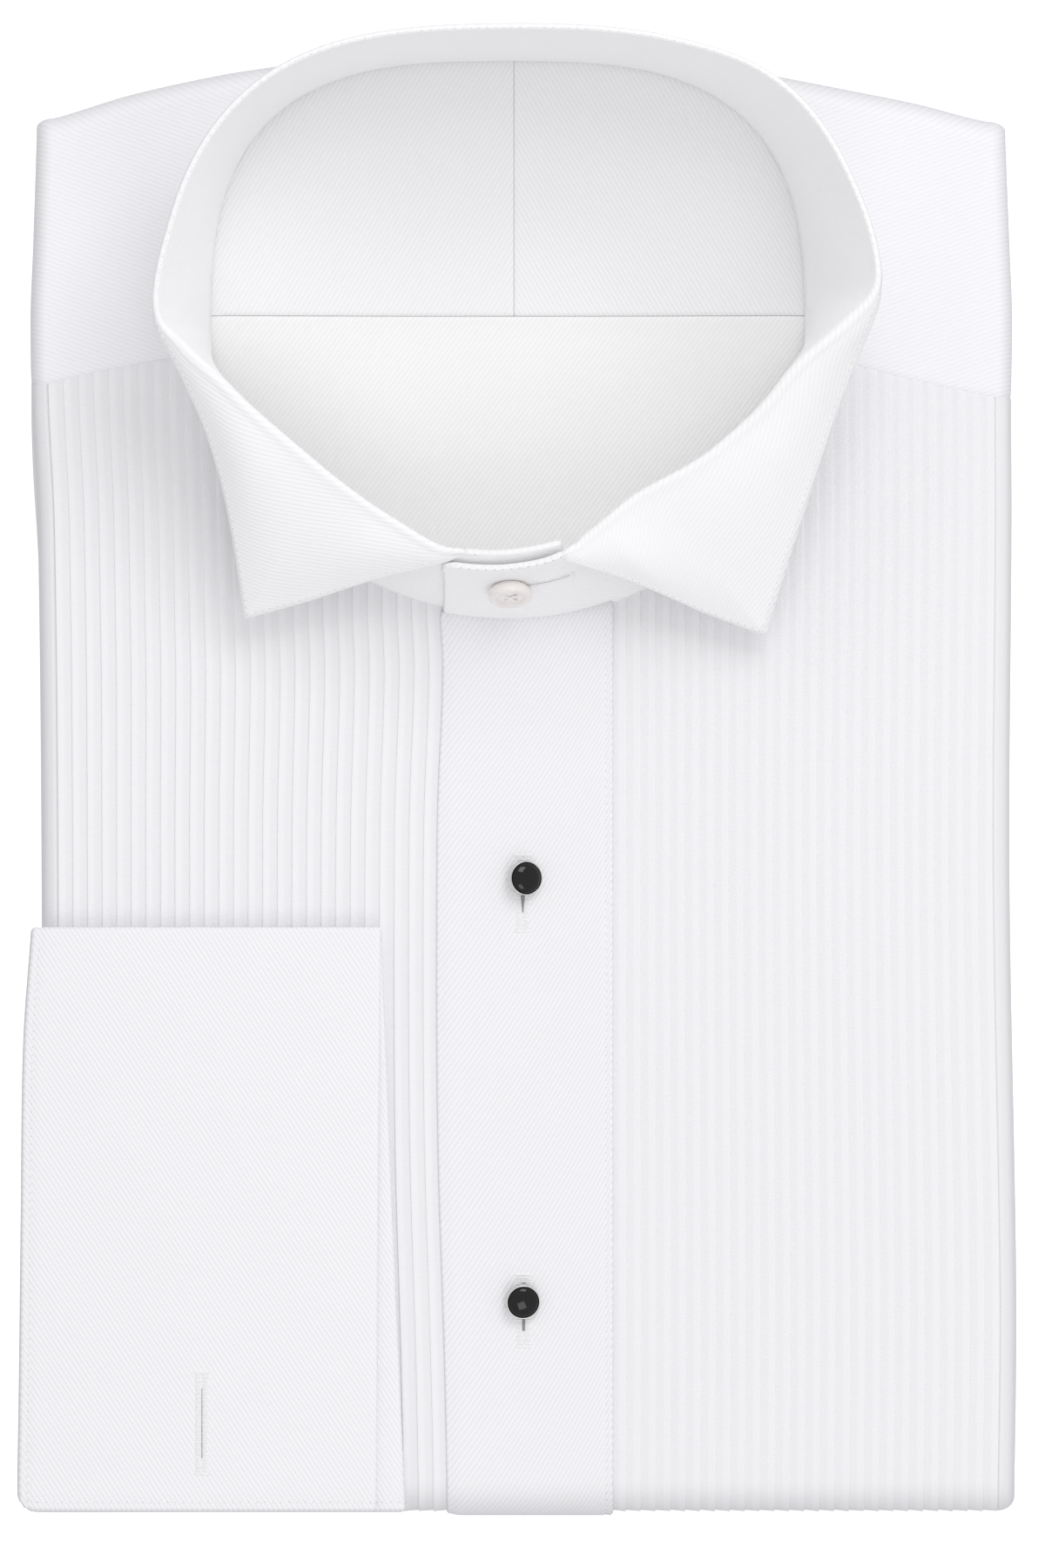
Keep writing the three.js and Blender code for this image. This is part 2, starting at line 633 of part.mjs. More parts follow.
function makeButton() {
  const { radius, height, well, wellDepth, hole, holeOffset } = BUTTON;
  const disc = turned([
    [0, 0],
    [radius * 0.8, 0],
    [radius, height * 0.4],
    [radius, height * 0.75],
    [radius * 0.9, height],
    [well * 1.05, height],
    [well * 0.9, height - wellDepth],
    [0, height - wellDepth],
  ]);
  let solid = solidOf(disc);
  for (const [x, y] of [[1, 1], [1, -1], [-1, 1], [-1, -1]]) {
    const drill = new THREE.CylinderGeometry(hole, hole, height * 3, 6).rotateX(Math.PI / 2);
    drill.translate(x * holeOffset, y * holeOffset, height / 2);
    solid = solid.subtract(solidOf(drill));
  }
  const seatPoint = (out) => standPoint(BUTTON_SEAT.angle, BUTTON_SEAT.share, STAND.wall / 2 + out);
  const seat = seatPoint(BUTTON.gap);
  const outside = seatPoint(BUTTON.gap + 1).sub(seat).normalize();
  const button = add("collar_button", geometryOf(solid), 0xf4ece6, 0.35);
  button.position.copy(seat);
  button.quaternion.setFromUnitVectors(new THREE.Vector3(0, 0, 1), outside);
}
makeButton();

function makeStud(name, x, y, tilt) {
  const { radius, height, recess, floor, stone, dome } = STUD;
  const rim = turned([
    [0, 0],
    [radius * 0.86, 0],
    [radius, height * 0.3],
    [radius, height * 0.7],
    [radius * 0.93, height],
    [recess, height],
    [recess, floor],
    [0, floor],
  ]);
  const seat = floor + SEAM;
  const cap = turned([
    [0, seat],
    [stone, seat],
    [stone, height],
    [stone * 0.85, height + dome * 0.45],
    [stone * 0.6, height + dome * 0.78],
    [stone * 0.3, height + dome * 0.95],
    [0, height + dome],
  ]);
  const lean = radius * Math.sin(degToRad(Math.abs(tilt)));
  const z = packHeight(x, y) + PLACKET.lift + SEAM + lean;
  for (const mesh of [add(name + "_rim", rim, 0xd8dade, 0.2, 1), add(name + "_stone", cap, 0x08080a, 0.08)]) {
    mesh.position.set(x, y, z);
    mesh.rotation.y = degToRad(tilt);
  }
}
makeStud("stud_upper", 1.9, -24.4, 7);
makeStud("stud_lower", 1.4, -124.2, 3);

// A cuff leaf: a thick wall with its right and top edges rounded over as folds
function makeLeaf(name, leftOf, rightOf, lift) {
  const { wall: thick, radius, top, bottom } = CUFF;
  const turns = [40, 78].map(degToRad);
  const flat = (count) => spread(0, 1, count).map((share) => ({ share, turn: 0 }));
  const across = [...flat(6), ...turns.map((turn) => ({ share: 1, turn }))];
  const down = [...turns.map((turn) => ({ share: 0, turn })).reverse(), ...flat(8)];
  const grid = (face) =>
    down.map((row) =>
      across.map((column) => {
        const y = lerp(top - radius, bottom, row.share) + radius * Math.sin(row.turn);
        const x = lerp(leftOf(y), rightOf(y) - radius, column.share) + radius * Math.sin(column.turn);
        const half = (thick / 2) * Math.cos(column.turn) * Math.cos(row.turn);
        return new THREE.Vector3(x, y, packHeight(x, y) + lift + thick / 2 + face * half);
      }),
    );
  add(name, wall(grid(1), grid(-1)));
}
const cuffEdge = (column) => (y) => follow(CUFF_EDGES, "y", column, y);
makeLeaf("cuff_lower_leaf", () => CUFF.innerLeft, cuffEdge("lowerRight"), CUFF.lift);
makeLeaf("cuff_upper_leaf", cuffEdge("left"), cuffEdge("right"), CUFF.lift + CUFF.wall + SEAM);

// The sleeve leaves the cuff and turns down round the pack's side
function makeSleeve() {
  const { depth, lift } = SLEEVE;
  const turns = [20, 38, 54, 68, 80, 90].map(degToRad);
  const edge = (y) => follow(SIDE_FOLDS, "y", "left", y) + SIDE_RADIUS;
  const grid = (sink) =>
    spread(SLEEVE.top, SLEEVE.bottom, 8).map((y) => [
      packPoint({ x: CUFF.innerLeft - SEAM, y, sink }),
      ...turns.map((roll) => packPoint({ x: edge(y), y, side: -1, roll, depth, sink })),
    ]);
  add("sleeve_right", wall(grid(-lift - SLEEVE.wall), grid(-lift)));
}
makeSleeve();

// The origin is the middle of the underside
const box = new THREE.Box3().setFromObject(shirt);
const centre = box.getCenter(new THREE.Vector3());
shirt.position.set(-centre.x, -centre.y, -box.min.z);

export default shirt;
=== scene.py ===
"""Looks of a folded evening shirt that lies on its back: wing collar, split yoke, pleated fronts, stud
placket and one French cuff. Sizes are in millimetres until a mesh is made; meshes are in metres."""

import math

import bpy
import numpy as np
from bpy.props import FloatProperty, FloatVectorProperty, IntProperty, PointerProperty
from mathutils import Matrix, Vector


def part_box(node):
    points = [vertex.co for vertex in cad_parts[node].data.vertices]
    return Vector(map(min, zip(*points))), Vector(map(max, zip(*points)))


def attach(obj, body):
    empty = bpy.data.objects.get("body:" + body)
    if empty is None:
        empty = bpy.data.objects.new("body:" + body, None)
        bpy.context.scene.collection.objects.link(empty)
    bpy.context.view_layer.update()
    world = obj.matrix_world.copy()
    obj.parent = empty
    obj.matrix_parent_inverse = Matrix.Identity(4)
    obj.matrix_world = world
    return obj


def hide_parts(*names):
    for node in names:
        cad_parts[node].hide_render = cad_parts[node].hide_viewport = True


bl_info = {
    "name": "Folded evening shirt",
    "version": (1, 0, 0),
    "blender": (4, 5, 0),
    "location": "3D View > Sidebar > Shirt",
    "description": "Makes the cloth, trimmings and studio of a folded evening shirt",
    "category": "Object",
}

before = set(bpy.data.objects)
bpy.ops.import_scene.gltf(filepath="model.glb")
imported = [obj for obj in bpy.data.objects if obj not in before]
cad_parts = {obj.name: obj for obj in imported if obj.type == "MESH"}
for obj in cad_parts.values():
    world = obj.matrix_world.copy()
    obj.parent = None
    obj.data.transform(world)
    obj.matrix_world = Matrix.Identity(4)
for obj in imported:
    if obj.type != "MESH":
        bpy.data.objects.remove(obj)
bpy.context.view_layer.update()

# Driving sizes of the folded shirt
CLOTH = 1.4
SEAM = 0.3
PACK_HEIGHT = 17.5
SIDE_SINK = 2.0
SHOULDER_SINK = 2.5
NECK_RISE = 4.5
SIDE_RADIUS = 4.0
SIDE_DEPTH = 0.45
HEM_RADIUS = 7.5
HEM_LINE = -173.4
UNDER_GAP = 0.35
CORNER_ROUND = 0.45
NECK_X = -2.2
NECK_Y = 102.4
NECK_ACROSS = 70.5
NECK_ALONG = 66.1
NECK_FLOOR = 8.0
STAND_WALL = 1.5
STAND_FOOT = 1.2
UNDER_SCALE = 0.974
NECK_TOUCH = -0.1 / NECK_ALONG
INNER_SEAM_Y = 108.0
YOKE_SPLIT_X = -0.8
PLACKET_RIGHT = 22.0
PLACKET_LIFT = 1.1
PLACKET_SEAM = 1.1
PLACKET_WALL = 1.3
CUFF_TOP = -36.0
CUFF_BOTTOM = -172.8
CUFF_WALL = 2.2
CUFF_LIFT = 0.7
CUFF_INNER_LEFT = -109.0
# Top of the placket, how far the strips beside it lie below the pleats, and the gap in the inside centre seam
PLACKET_TOP = 37.0
STRIP_SINK = 0.5
SEAM_GAP = 0.16
# Millimetres of cloth in one unit of a mesh's cloth places
UV_SPAN = 100.0
# Studs: centre of the stone, how far it leans and the heading that it leans to, degrees
STUDS = {"upper": (2.2, -24.4, 22.0, 2.0), "lower": (1.45, -124.2, 15.0, -48.0)}


def node_corner(node, corner, axis):
    """One edge of a node's box, in millimetres."""
    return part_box(node)[corner][axis] * 1000


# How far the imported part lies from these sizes
SHIFT_X = node_corner("placket", 1, 0) - PLACKET_RIGHT
SHIFT_Y = (node_corner("stud_upper_rim", 0, 1) + node_corner("stud_upper_rim", 1, 1)) / 2 - STUDS["upper"][1]

# Side folds: y, left, right
SIDE_FOLDS = np.array([
    (-180, -111.4, 116.6), (-165, -111.6, 117.2), (-121, -112.0, 117.6), (-23, -112.1, 116.0),
    (59, -113.0, 116.5), (88, -114.4, 116.4), (108, -114.7, 116.6), (124, -114.1, 116.0),
    (155, -113.1, 114.8),
])
# Shoulder fold: x, y
SHOULDER_FOLD = np.array([
    (-115, 153.2), (-107, 155.2), (-91, 160.1), (-70, 164.7), (-54, 167.2), (-30, 171.2), (0, 173.2),
    (28, 171.0), (48, 167.0), (77, 161.4), (94, 158.0), (107, 154.6), (116, 152.8),
])
# Front yoke seam: x, y
YOKE_SEAM = np.array([
    (-115, 90.2), (-108, 92.7), (-91, 96.4), (-72.5, 99.0), (70, 99.5), (79, 96.4), (90, 93.5), (104, 90.4),
    (117, 87.8),
])
# Placket's free edge: y, x
PLACKET_EDGE = np.array([(-176, -16.0), (-138, -16.8), (-84, -18.4), (-13, -18.5), (24, -17.2), (37, -17.8)])
# Collar's top line: angle round the neck, lean out from the neckline, height
COLLAR_TOP = np.array([
    (-102.8, -11.6, 45.3), (-90, -12.5, 46), (-76, -14.2, 46.5), (-67, -18.2, 47), (-49, -21, 48),
    (-27, -14.7, 51), (-15, -9, 54), (-5, -2.5, 57), (2, 7.5, 59.5), (7, 15.5, 61), (12, 16.6, 62),
    (27, 13.2, 63), (45, 10.2, 64), (60, 7.4, 64.6), (90, 6.6, 65), (121, 6.6, 64.6), (141, 7.3, 64),
    (160, 9.8, 63), (173, 12.2, 61.5), (177.5, 11, 60), (181, 6, 58.5), (189, -3.4, 55.5),
    (204, -13.1, 52), (220, -17.2, 49.5), (238, -17.6, 48), (256, -15.4, 46.5), (284, -16.9, 45.5),
])
# Wing edges by the angle that they hang from: angle, x, y, z. Each side runs from the collar to the tip,
# and each front edge from the tip to the band.
LEFT_WING_SIDE = np.array([
    (10, 85.0, 116.4, 60.2), (6.5, 84.4, 110.3, 58), (2.5, 82.6, 104.8, 55), (-2.5, 80.1, 98.6, 51.5),
    (-8, 76.9, 90.6, 48), (-15, 73.0, 79.8, 44), (-24, 68.6, 66.3, 39.8), (-36, 63.7, 51.0, 34.0),
    (-47, 58.2, 33.0, 25.5),
])
LEFT_WING_FRONT = np.array([
    (-47, 58.2, 33.0, 25.5), (-57, 43.8, 38.4, 30.7), (-66, 28.0, 45.2, 38), (-73, 12.4, 50.3, 44.6),
])
RIGHT_WING_SIDE = np.array([
    (174, -85.0, 110.0, 60.2), (177.5, -84.2, 104.4, 57.6), (181, -81.2, 98.6, 54), (185, -77.0, 90.2, 49.5),
    (190, -72.8, 80.3, 45.2), (197, -69.0, 67.4, 40.3), (206, -66.2, 52.8, 34.1), (217, -64.0, 36.9, 26),
])
RIGHT_WING_FRONT = np.array([
    (217, -64.0, 36.9, 26), (229, -50.0, 40.8, 31.3), (243, -33.4, 46.2, 37.6), (256, -16.0, 50.4, 43.6),
])
# Angles of the wings' tips and starts, of the fade past each start, and of the lapped end
WING_TIPS = (-47.0, 217.0)
WING_FADE = 3.0
LAP_END = -102.8
WING_STARTS = (10.0, 174.0, -73.0, 256.0)
# Cuff: y, left edge, right edge, lower leaf's right edge
CUFF_EDGES = np.array([
    (-173, -117.0, -33.2, -26.4), (-146, -116.6, -33.0, -27.6), (-105, -116.2, -32.8, -29.4),
    (-64, -115.6, -32.4, -31.0), (-36, -113.6, -32.2, -32.2),
])


class ShirtSizes(bpy.types.PropertyGroup):
    """Sizes and colours that a user would change."""

    pleat_pitch: FloatProperty(name="Pleat pitch", description="Width of one pleat, mm", default=3.43)
    pleat_rise: FloatProperty(name="Pleat rise", description="Half a pleat fold's height, mm", default=0.16)
    twill_pitch: FloatProperty(name="Twill pitch", description="Distance between twill ribs, mm", default=1.0)
    stitch_pitch: FloatProperty(name="Stitch pitch", description="Distance between stitches, mm", default=1.9)
    stitch_inset: FloatProperty(
        name="Stitch inset", description="Seam line in from the edge, mm", default=1.6
    )
    stud_radius: FloatProperty(name="Stud radius", description="Radius of a stud's rim, mm", default=4.1)
    cloth_colour: FloatVectorProperty(
        name="Cloth", description="Colour of the cotton",
        subtype="COLOR", default=(0.925, 0.918, 0.942),
    )
    pleat_colour: FloatVectorProperty(
        name="Pleats", description="Colour of the pleated cotton",
        subtype="COLOR", default=(0.898, 0.893, 0.915),
    )
    collar_colour: FloatVectorProperty(
        name="Collar", description="Colour of the stiffened collar",
        subtype="COLOR", default=(0.965, 0.96, 0.968),
    )
    # The back's inside is painted lighter than the cloth: painted light against the shade deep in the neck
    back_colour_painted_light: FloatVectorProperty(
        name="Back", description="Colour of the back's inside",
        subtype="COLOR", default=(0.945, 0.94, 0.938),
    )
    lining_colour: FloatVectorProperty(
        name="Lining", description="Colour of the yoke's inside",
        subtype="COLOR", default=(0.913, 0.908, 0.918),
    )
    fold_layers: IntProperty(name="Layers", description="Rolled layers down each side", default=3, min=1)


# Lines through tables


def follow(table, value, column=1):
    """A smooth line through a table's rows, read at many values of its first column."""
    keys = table[:, 0]
    heights = table[:, column]
    if keys[0] > keys[-1]:
        keys = keys[::-1]
        heights = heights[::-1]
    value = np.asarray(value, float)
    i = np.clip(np.searchsorted(keys, value) - 1, 0, len(keys) - 2)
    span = keys[i + 1] - keys[i]
    t = np.clip((value - keys[i]) / span, 0, 1)
    slopes = np.empty(len(keys))
    slopes[1:-1] = (heights[2:] - heights[:-2]) / (keys[2:] - keys[:-2])
    slopes[0] = (heights[1] - heights[0]) / (keys[1] - keys[0])
    slopes[-1] = (heights[-1] - heights[-2]) / (keys[-1] - keys[-2])
    t2 = t * t
    t3 = t2 * t
    start = (2 * t3 - 3 * t2 + 1) * heights[i] + (t3 - 2 * t2 + t) * span * slopes[i]
    return start + (3 * t2 - 2 * t3) * heights[i + 1] + (t3 - t2) * span * slopes[i + 1]


def ease(value, low, high):
    t = np.clip((np.asarray(value, float) - low) / (high - low), 0, 1)
    return t * t * (3 - 2 * t)


def mix(a, b, t):
    return a + (b - a) * t


def dent(distance, width):
    """A smooth bump of height one along a line or round a point."""
    return np.exp(-((distance / width) ** 2))


def read_points(at, keys, points):
    """Points of a line, read at many values of its keys."""
    return np.stack([np.interp(at, keys, points[..., k]) for k in range(3)], axis=-1)


def length_along(line):
    """How far each point of a line lies from its start."""
    return np.concatenate([[0], np.cumsum(np.linalg.norm(np.diff(line, axis=0), axis=1))])


# Form of the pack


def neck_radius(angle):
    power = np.where(np.sin(angle) > 0, 3.0, 2.0)
    across = np.abs(np.cos(angle) / NECK_ACROSS) ** power
    along = np.abs(np.sin(angle) / NECK_ALONG) ** power
    return (across + along) ** (-1 / power)


def neck_ratio(x, y):
    angle = np.arctan2(y - NECK_Y, x - NECK_X)
    return np.hypot(x - NECK_X, y - NECK_Y) / neck_radius(angle)


def neckline_y(x, scale, end):
    power = 3.0 if end > 0 else 2.0
    across = np.abs((x - NECK_X) / (NECK_ACROSS * scale)) ** power
    return NECK_Y + end * NECK_ALONG * scale * np.maximum(1 - across, 0) ** (1 / power)


def softness(x, y):
    """Slow, shallow swells that keep a pressed pack from looking cast."""
    swell = 0.16 * np.sin(x / 31 + 0.6) * np.sin(y / 43 + 1.1) + 0.12 * np.sin((x - y) / 52 + 2.0)
    return swell * ease(neck_ratio(x, y), 1.0, 1.3)


def pack_height(x, y):
    side = SIDE_SINK * (x / 115) ** 4
    shoulder = SHOULDER_SINK * ease(y, 100, 170)
    return PACK_HEIGHT - side - shoulder + NECK_RISE * (1 - ease(neck_ratio(x, y), 1, 1.5)) + softness(x, y)


def neck_floor(x, y):
    climb = ease(neck_ratio(x, y), 0.3, 1.02) * ease(y, 60, INNER_SEAM_Y)
    return mix(NECK_FLOOR, pack_height(x, y) - CLOTH - 0.6, climb)


def pack_point(x, y, side=0, roll=0.0, depth=SIDE_DEPTH, end=0, radius=0.0, fold=0.0, sink=0.0):
    """Points of a layer on the pack, sunk below its top: roll turns them over a side, fold over an end."""
    top = pack_height(x, y)
    drop = depth * top
    level = top - drop + (drop - sink) * np.cos(roll)
    crown = top - drop * (1 - np.cos(roll))
    middle = crown / 2 + UNDER_GAP
    corner = 1 - CORNER_ROUND * (1 - np.cos(roll))
    px = x + side * (SIDE_RADIUS - sink) * np.sin(roll)
    py = y + end * (radius - sink) * np.sin(fold) * corner
    pz = middle + (level - middle) * np.cos(fold)
    px, py, pz = np.broadcast_arrays(px, py, pz)
    return np.stack([px, py, pz], axis=-1)


def side_edge(side, y):
    return follow(SIDE_FOLDS, y, 2 if side > 0 else 1)


def placket_left(y):
    return follow(PLACKET_EDGE, y)


def band_scale(x, side):
    if side > 0:
        return np.ones_like(x)
    return 1 - (1 - UNDER_SCALE) * ease(x, -52, -34) * (1 - ease(x, -17.4, -16.6))


def front_start(side):
    def start(x):
        scale = band_scale(x, side) + NECK_TOUCH
        beyond = np.abs(x - NECK_X) >= NECK_ACROSS * scale
        return np.where(beyond, follow(YOKE_SEAM, x) - SEAM, neckline_y(x, scale, -1))

    return start


# Meshes from grids


def rim_faces(order, first, count):
    """Quads that close a sheet's edge over one bulged row."""
    following = np.roll(order, -1)
    bulge = first + np.arange(len(order))
    next_bulge = np.roll(bulge, -1)
    upper = np.stack([following, order, bulge, next_bulge], axis=1)
    lower = np.stack([next_bulge, bulge, order + count, following + count], axis=1)
    return np.concatenate([upper, lower])


def grid_faces(rows, columns, offset, flipped):
    index = np.arange(rows * columns).reshape(rows, columns) + offset
    quads = np.stack([index[:-1, :-1], index[:-1, 1:], index[1:, 1:], index[1:, :-1]], axis=-1).reshape(-1, 4)
    return quads[:, ::-1] if flipped else quads


def edge_order(rows, columns):
    index = np.arange(rows * columns).reshape(rows, columns)
    return np.concatenate([index[0, :-1], index[:-1, -1], index[-1, :0:-1], index[:0:-1, 0]])


def edge_neighbours(rows, columns):
    """The grid point one step inside each edge point, in the same order."""
    row, column = np.divmod(edge_order(rows, columns), columns)
    return np.clip(row, 1, rows - 2) * columns + np.clip(column, 1, columns - 2)


def make_object(name, points, faces, material, uv=None):
    """A mesh object in metres from points in millimetres; uv is a place in millimetres for each point."""
    placed = (np.asarray(points, float) + (SHIFT_X, SHIFT_Y, 0)) / 1000
    mesh = bpy.data.meshes.new(name)
    mesh.from_pydata(placed.tolist(), [], faces.tolist() if isinstance(faces, np.ndarray) else faces)
    if uv is not None:
        corners = np.empty(len(mesh.loops), dtype=np.int32)
        mesh.loops.foreach_get("vertex_index", corners)
        layer = mesh.uv_layers.new(name="cloth")
        layer.data.foreach_set("uv", (np.asarray(uv, float)[corners] / UV_SPAN).ravel())
    mesh.polygons.foreach_set("use_smooth", [True] * len(mesh.polygons))
    mesh.materials.append(material)
    mesh.update()
    made = bpy.data.objects.new(name, mesh)
    bpy.context.scene.collection.objects.link(made)
    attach(made, "root")
    return made


def outward(points, faces):
    """The faces turned round if they enclose a negative volume."""
    a, b, c, d = (points[faces[:, k]] for k in range(4))
    volume = np.einsum("ij,ij->", a, np.cross(b, c)) + np.einsum("ij,ij->", a, np.cross(c, d))
    return faces if volume > 0 else faces[:, ::-1]


def make_sheet(name, outer, inner, uv, material, bulge=0.45):
    """A closed cloth wall between two grids of points, with rounded edges."""
    rows, columns = outer.shape[:2]
    count = rows * columns
    top = outer.reshape(-1, 3)
    under = inner.reshape(-1, 3)
    order = edge_order(rows, columns)
    inside = edge_neighbours(rows, columns)
    middle = (top + under) / 2
    away = middle[order] - middle[inside]
    away /= np.maximum(np.linalg.norm(away, axis=1, keepdims=True), 1e-6)
    thick = np.linalg.norm(top[order] - under[order], axis=1, keepdims=True)
    rim = middle[order] + away * thick * bulge
    points = np.concatenate([top, under, rim])
    faces = np.concatenate([
        grid_faces(rows, columns, 0, False),
        grid_faces(rows, columns, count, True),
        rim_faces(order, 2 * count, count),
    ])
    flat = uv.reshape(-1, 2)
    places = np.concatenate([flat, flat, flat[order]])
    return make_object(name, points, outward(points, faces), material, places)


def walk_uv(points):
    """Cloth places along a grid's rows and columns, in millimetres."""
    across = np.linalg.norm(np.diff(points, axis=1), axis=2)
    down = np.linalg.norm(np.diff(points, axis=0), axis=2)
    u = np.concatenate([np.zeros((points.shape[0], 1)), np.cumsum(across, axis=1)], axis=1)
    v = np.concatenate([np.zeros((1, points.shape[1])), np.cumsum(down, axis=0)], axis=0)
    return np.stack([u, v], axis=-1)


def front_uv(points, flat_rows, across):
    """Cloth places on a pleated front: across by whole pleats, and down the front."""
    u = np.repeat(across[None], len(points), axis=0)
    v = points[..., 1].copy()
    turned = np.linalg.norm(np.diff(points[flat_rows - 1:], axis=0), axis=2)
    v[flat_rows:] = v[flat_rows - 1] - np.cumsum(turned, axis=0)
    return np.stack([u, v], axis=-1)


def flat_uv(points):
    return points[..., :2].copy()


def normals_of(points):
    """Normals of a grid, with rows that have no length taking the row before's."""
    along = np.gradient(points, axis=1)
    down = np.gradient(points, axis=0)
    normal = np.cross(along, down)
    length = np.linalg.norm(normal, axis=2, keepdims=True)
    good = length[..., 0] > 1e-4
    normal = normal / np.maximum(length, 1e-9)
    for row in range(1, points.shape[0]):
        bad = ~good[row]
        normal[row][bad] = normal[row - 1][bad]
    return normal


def level_rows(y0, y1, rows):
    """Rows that lie level over a panel and crowd together only where its top line cuts them short."""
    top = y0.max()
    travel = (rows * (top - y1.min()))[:, None]
    cut = (top - y0)[None, :]
    soft = CROWDING * (np.logaddexp(0, (travel - cut) / CROWDING) - np.logaddexp(0, -cut / CROWDING))
    soft = soft * ((y0 - y1) / soft[-1])[None, :]
    straight = rows[:, None] * (y0 - y1)[None, :]
    return y0[None, :] - mix(straight, soft, 0.9)


def turned_rows(x, y, sink, end_sink, folds, end, radius, side=0, rolls=0.0):
    """Points of a layer on the pack, with rows that turn round an end fold after its last row."""
    last = lambda values: np.repeat(values[-1:], len(folds), axis=0)
    flat = pack_point(x, y, side, rolls, sink=sink)
    turned = pack_point(
        last(x), last(y), side, rolls, end=end, radius=radius, fold=folds[:, None], sink=last(end_sink)
    )
    return np.concatenate([flat, turned])


def panel_grid(side, inner, shares, raises, rolls, start, sink):
    """Rows of a front from its top line down to the hem fold and round it."""
    across = lambda share, y: mix(inner(y), side_edge(side, y) - side * SIDE_RADIUS, share)
    y0 = np.full(len(rolls), NECK_Y)
    y1 = np.full(len(rolls), HEM_LINE + HEM_RADIUS)
    for _ in range(6):
        y0 = start(across(shares, y0))
    y = level_rows(y0, y1, np.linspace(0, 1, FRONT_ROWS) ** 1.35)
    x = across(shares, y)
    under = sink - raises(y)
    return turned_rows(x, y, under, under, HEM_FOLDS, -1, HEM_RADIUS, side, rolls)


# How far the cloth turns round a pack's side, a rolled layer and the hem, in steps
ROLLS = np.radians(np.linspace(8, 96, 12))
ROLL_TURNS = np.radians((-84, -70, -45, -20, 0, 20, 45, 70, 84))
CROWDING = 3.0
FRONT_ROWS = 64
PLEAT_PROFILE = np.array([
    (0.0, -1.0), (0.06, -0.97), (0.3, -0.5), (0.55, 0.05), (0.78, 0.62), (0.9, 0.95), (0.955, 1.0),
    (0.985, 0.8), (0.985, 0.1), (0.965, -0.75),
])
HEM_FOLDS = np.radians(np.linspace(9, 158, 16))


def make_front(name, side, inner, material, strip_x):
    """A pleated front: each pleat climbs outwards to a turned fold, and a strip goes under the placket."""
    sizes = bpy.context.scene.shirt_sizes
    width = abs(side_edge(side, 0.0) - side * SIDE_RADIUS - inner(np.array(0.0)))
    count = int(round(width / sizes.pleat_pitch))
    pleats = np.arange(count)[:, None]
    shapes = ((len(strip_x),), (count, len(PLEAT_PROFILE)), ROLLS.shape)

    def columns(*parts):
        """A value for each column: of the strip, of the pleats and of the roll down the side."""
        return np.concatenate([np.broadcast_to(part, shape).ravel() for part, shape in zip(parts, shapes)])

    strip_start = inner(np.array(PLACKET_TOP))
    strip_shares = (strip_x - strip_start) / (side_edge(side, PLACKET_TOP) - side * SIDE_RADIUS - strip_start)
    shares = columns(strip_shares, (pleats + PLEAT_PROFILE[None, :, 0]) / count, 1.0)
    rises = columns(0.0, PLEAT_PROFILE[None, :, 1], 0.0)
    numbers = columns(0.0, pleats, count)
    rolls = columns(0.0, 0.0, ROLLS)
    strip = columns(True, False, False)

    def raises(y):
        vary = 1 + 0.22 * np.sin(y / 41 + numbers * 2.1) * np.sin(numbers * 1.3 + 0.4)
        return np.where(strip, -STRIP_SINK, sizes.pleat_rise * rises * vary)

    common = dict(side=side, inner=inner, shares=shares, rolls=rolls, start=front_start(side))
    outer = panel_grid(raises=raises, sink=0.0, **common)
    plain = panel_grid(raises=lambda y: np.where(strip, -STRIP_SINK, 0.0) + 0 * y, sink=CLOTH, **common)
    across = shares * count * sizes.pleat_pitch + SIDE_RADIUS * rolls
    made = make_sheet(name + "_cloth", outer, plain, front_uv(outer, FRONT_ROWS, across), material)
    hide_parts(name)


# Materials


def add_node(tree, kind, values=None, links=None):
    """A new shader node, with the values of its inputs and the sockets that feed them."""
    node = tree.nodes.new("ShaderNode" + kind)
    for label, value in (values or {}).items():
        node.inputs[label].default_value = value
    for label, socket in (links or {}).items():
        tree.links.new(socket, node.inputs[label])
    return node


def new_group(name, **floats):
    """A group that turns cloth places into a height and a shade, with those places in millimetres."""
    group = bpy.data.node_groups.new(name, "ShaderNodeTree")
    group.interface.new_socket(name="Vector", in_out="INPUT", socket_type="NodeSocketVector")
    for label, value in floats.items():
        socket = group.interface.new_socket(name=label, in_out="INPUT", socket_type="NodeSocketFloat")
        socket.default_value = value
    for label in ("Height", "Shade"):
        group.interface.new_socket(name=label, in_out="OUTPUT", socket_type="NodeSocketFloat")
    source = group.nodes.new("NodeGroupInput")
    split = add_node(group, "SeparateXYZ", links={"Vector": source.outputs["Vector"]})
    x, y = (maths(group, "MULTIPLY", split.outputs[k], UV_SPAN) for k in range(2))
    return group, source.outputs, x, y


def close_group(group, height, shade):
    sink = group.nodes.new("NodeGroupOutput")
    group.links.new(height, sink.inputs["Height"])
    group.links.new(shade, sink.inputs["Shade"])
    return group


def maths(tree, kind, *values):
    node = tree.nodes.new("ShaderNodeMath")
    node.operation = kind
    for slot, value in enumerate(values):
        if isinstance(value, (int, float)):
            node.inputs[slot].default_value = value
        else:
            tree.links.new(value, node.inputs[slot])
    return node.outputs[0]


def wave(group, place):
    return maths(group, "SINE", maths(group, "MULTIPLY", place, 2 * math.pi))


# Length of one thread's float in the twill, mm
THREAD_LENGTH = 0.62


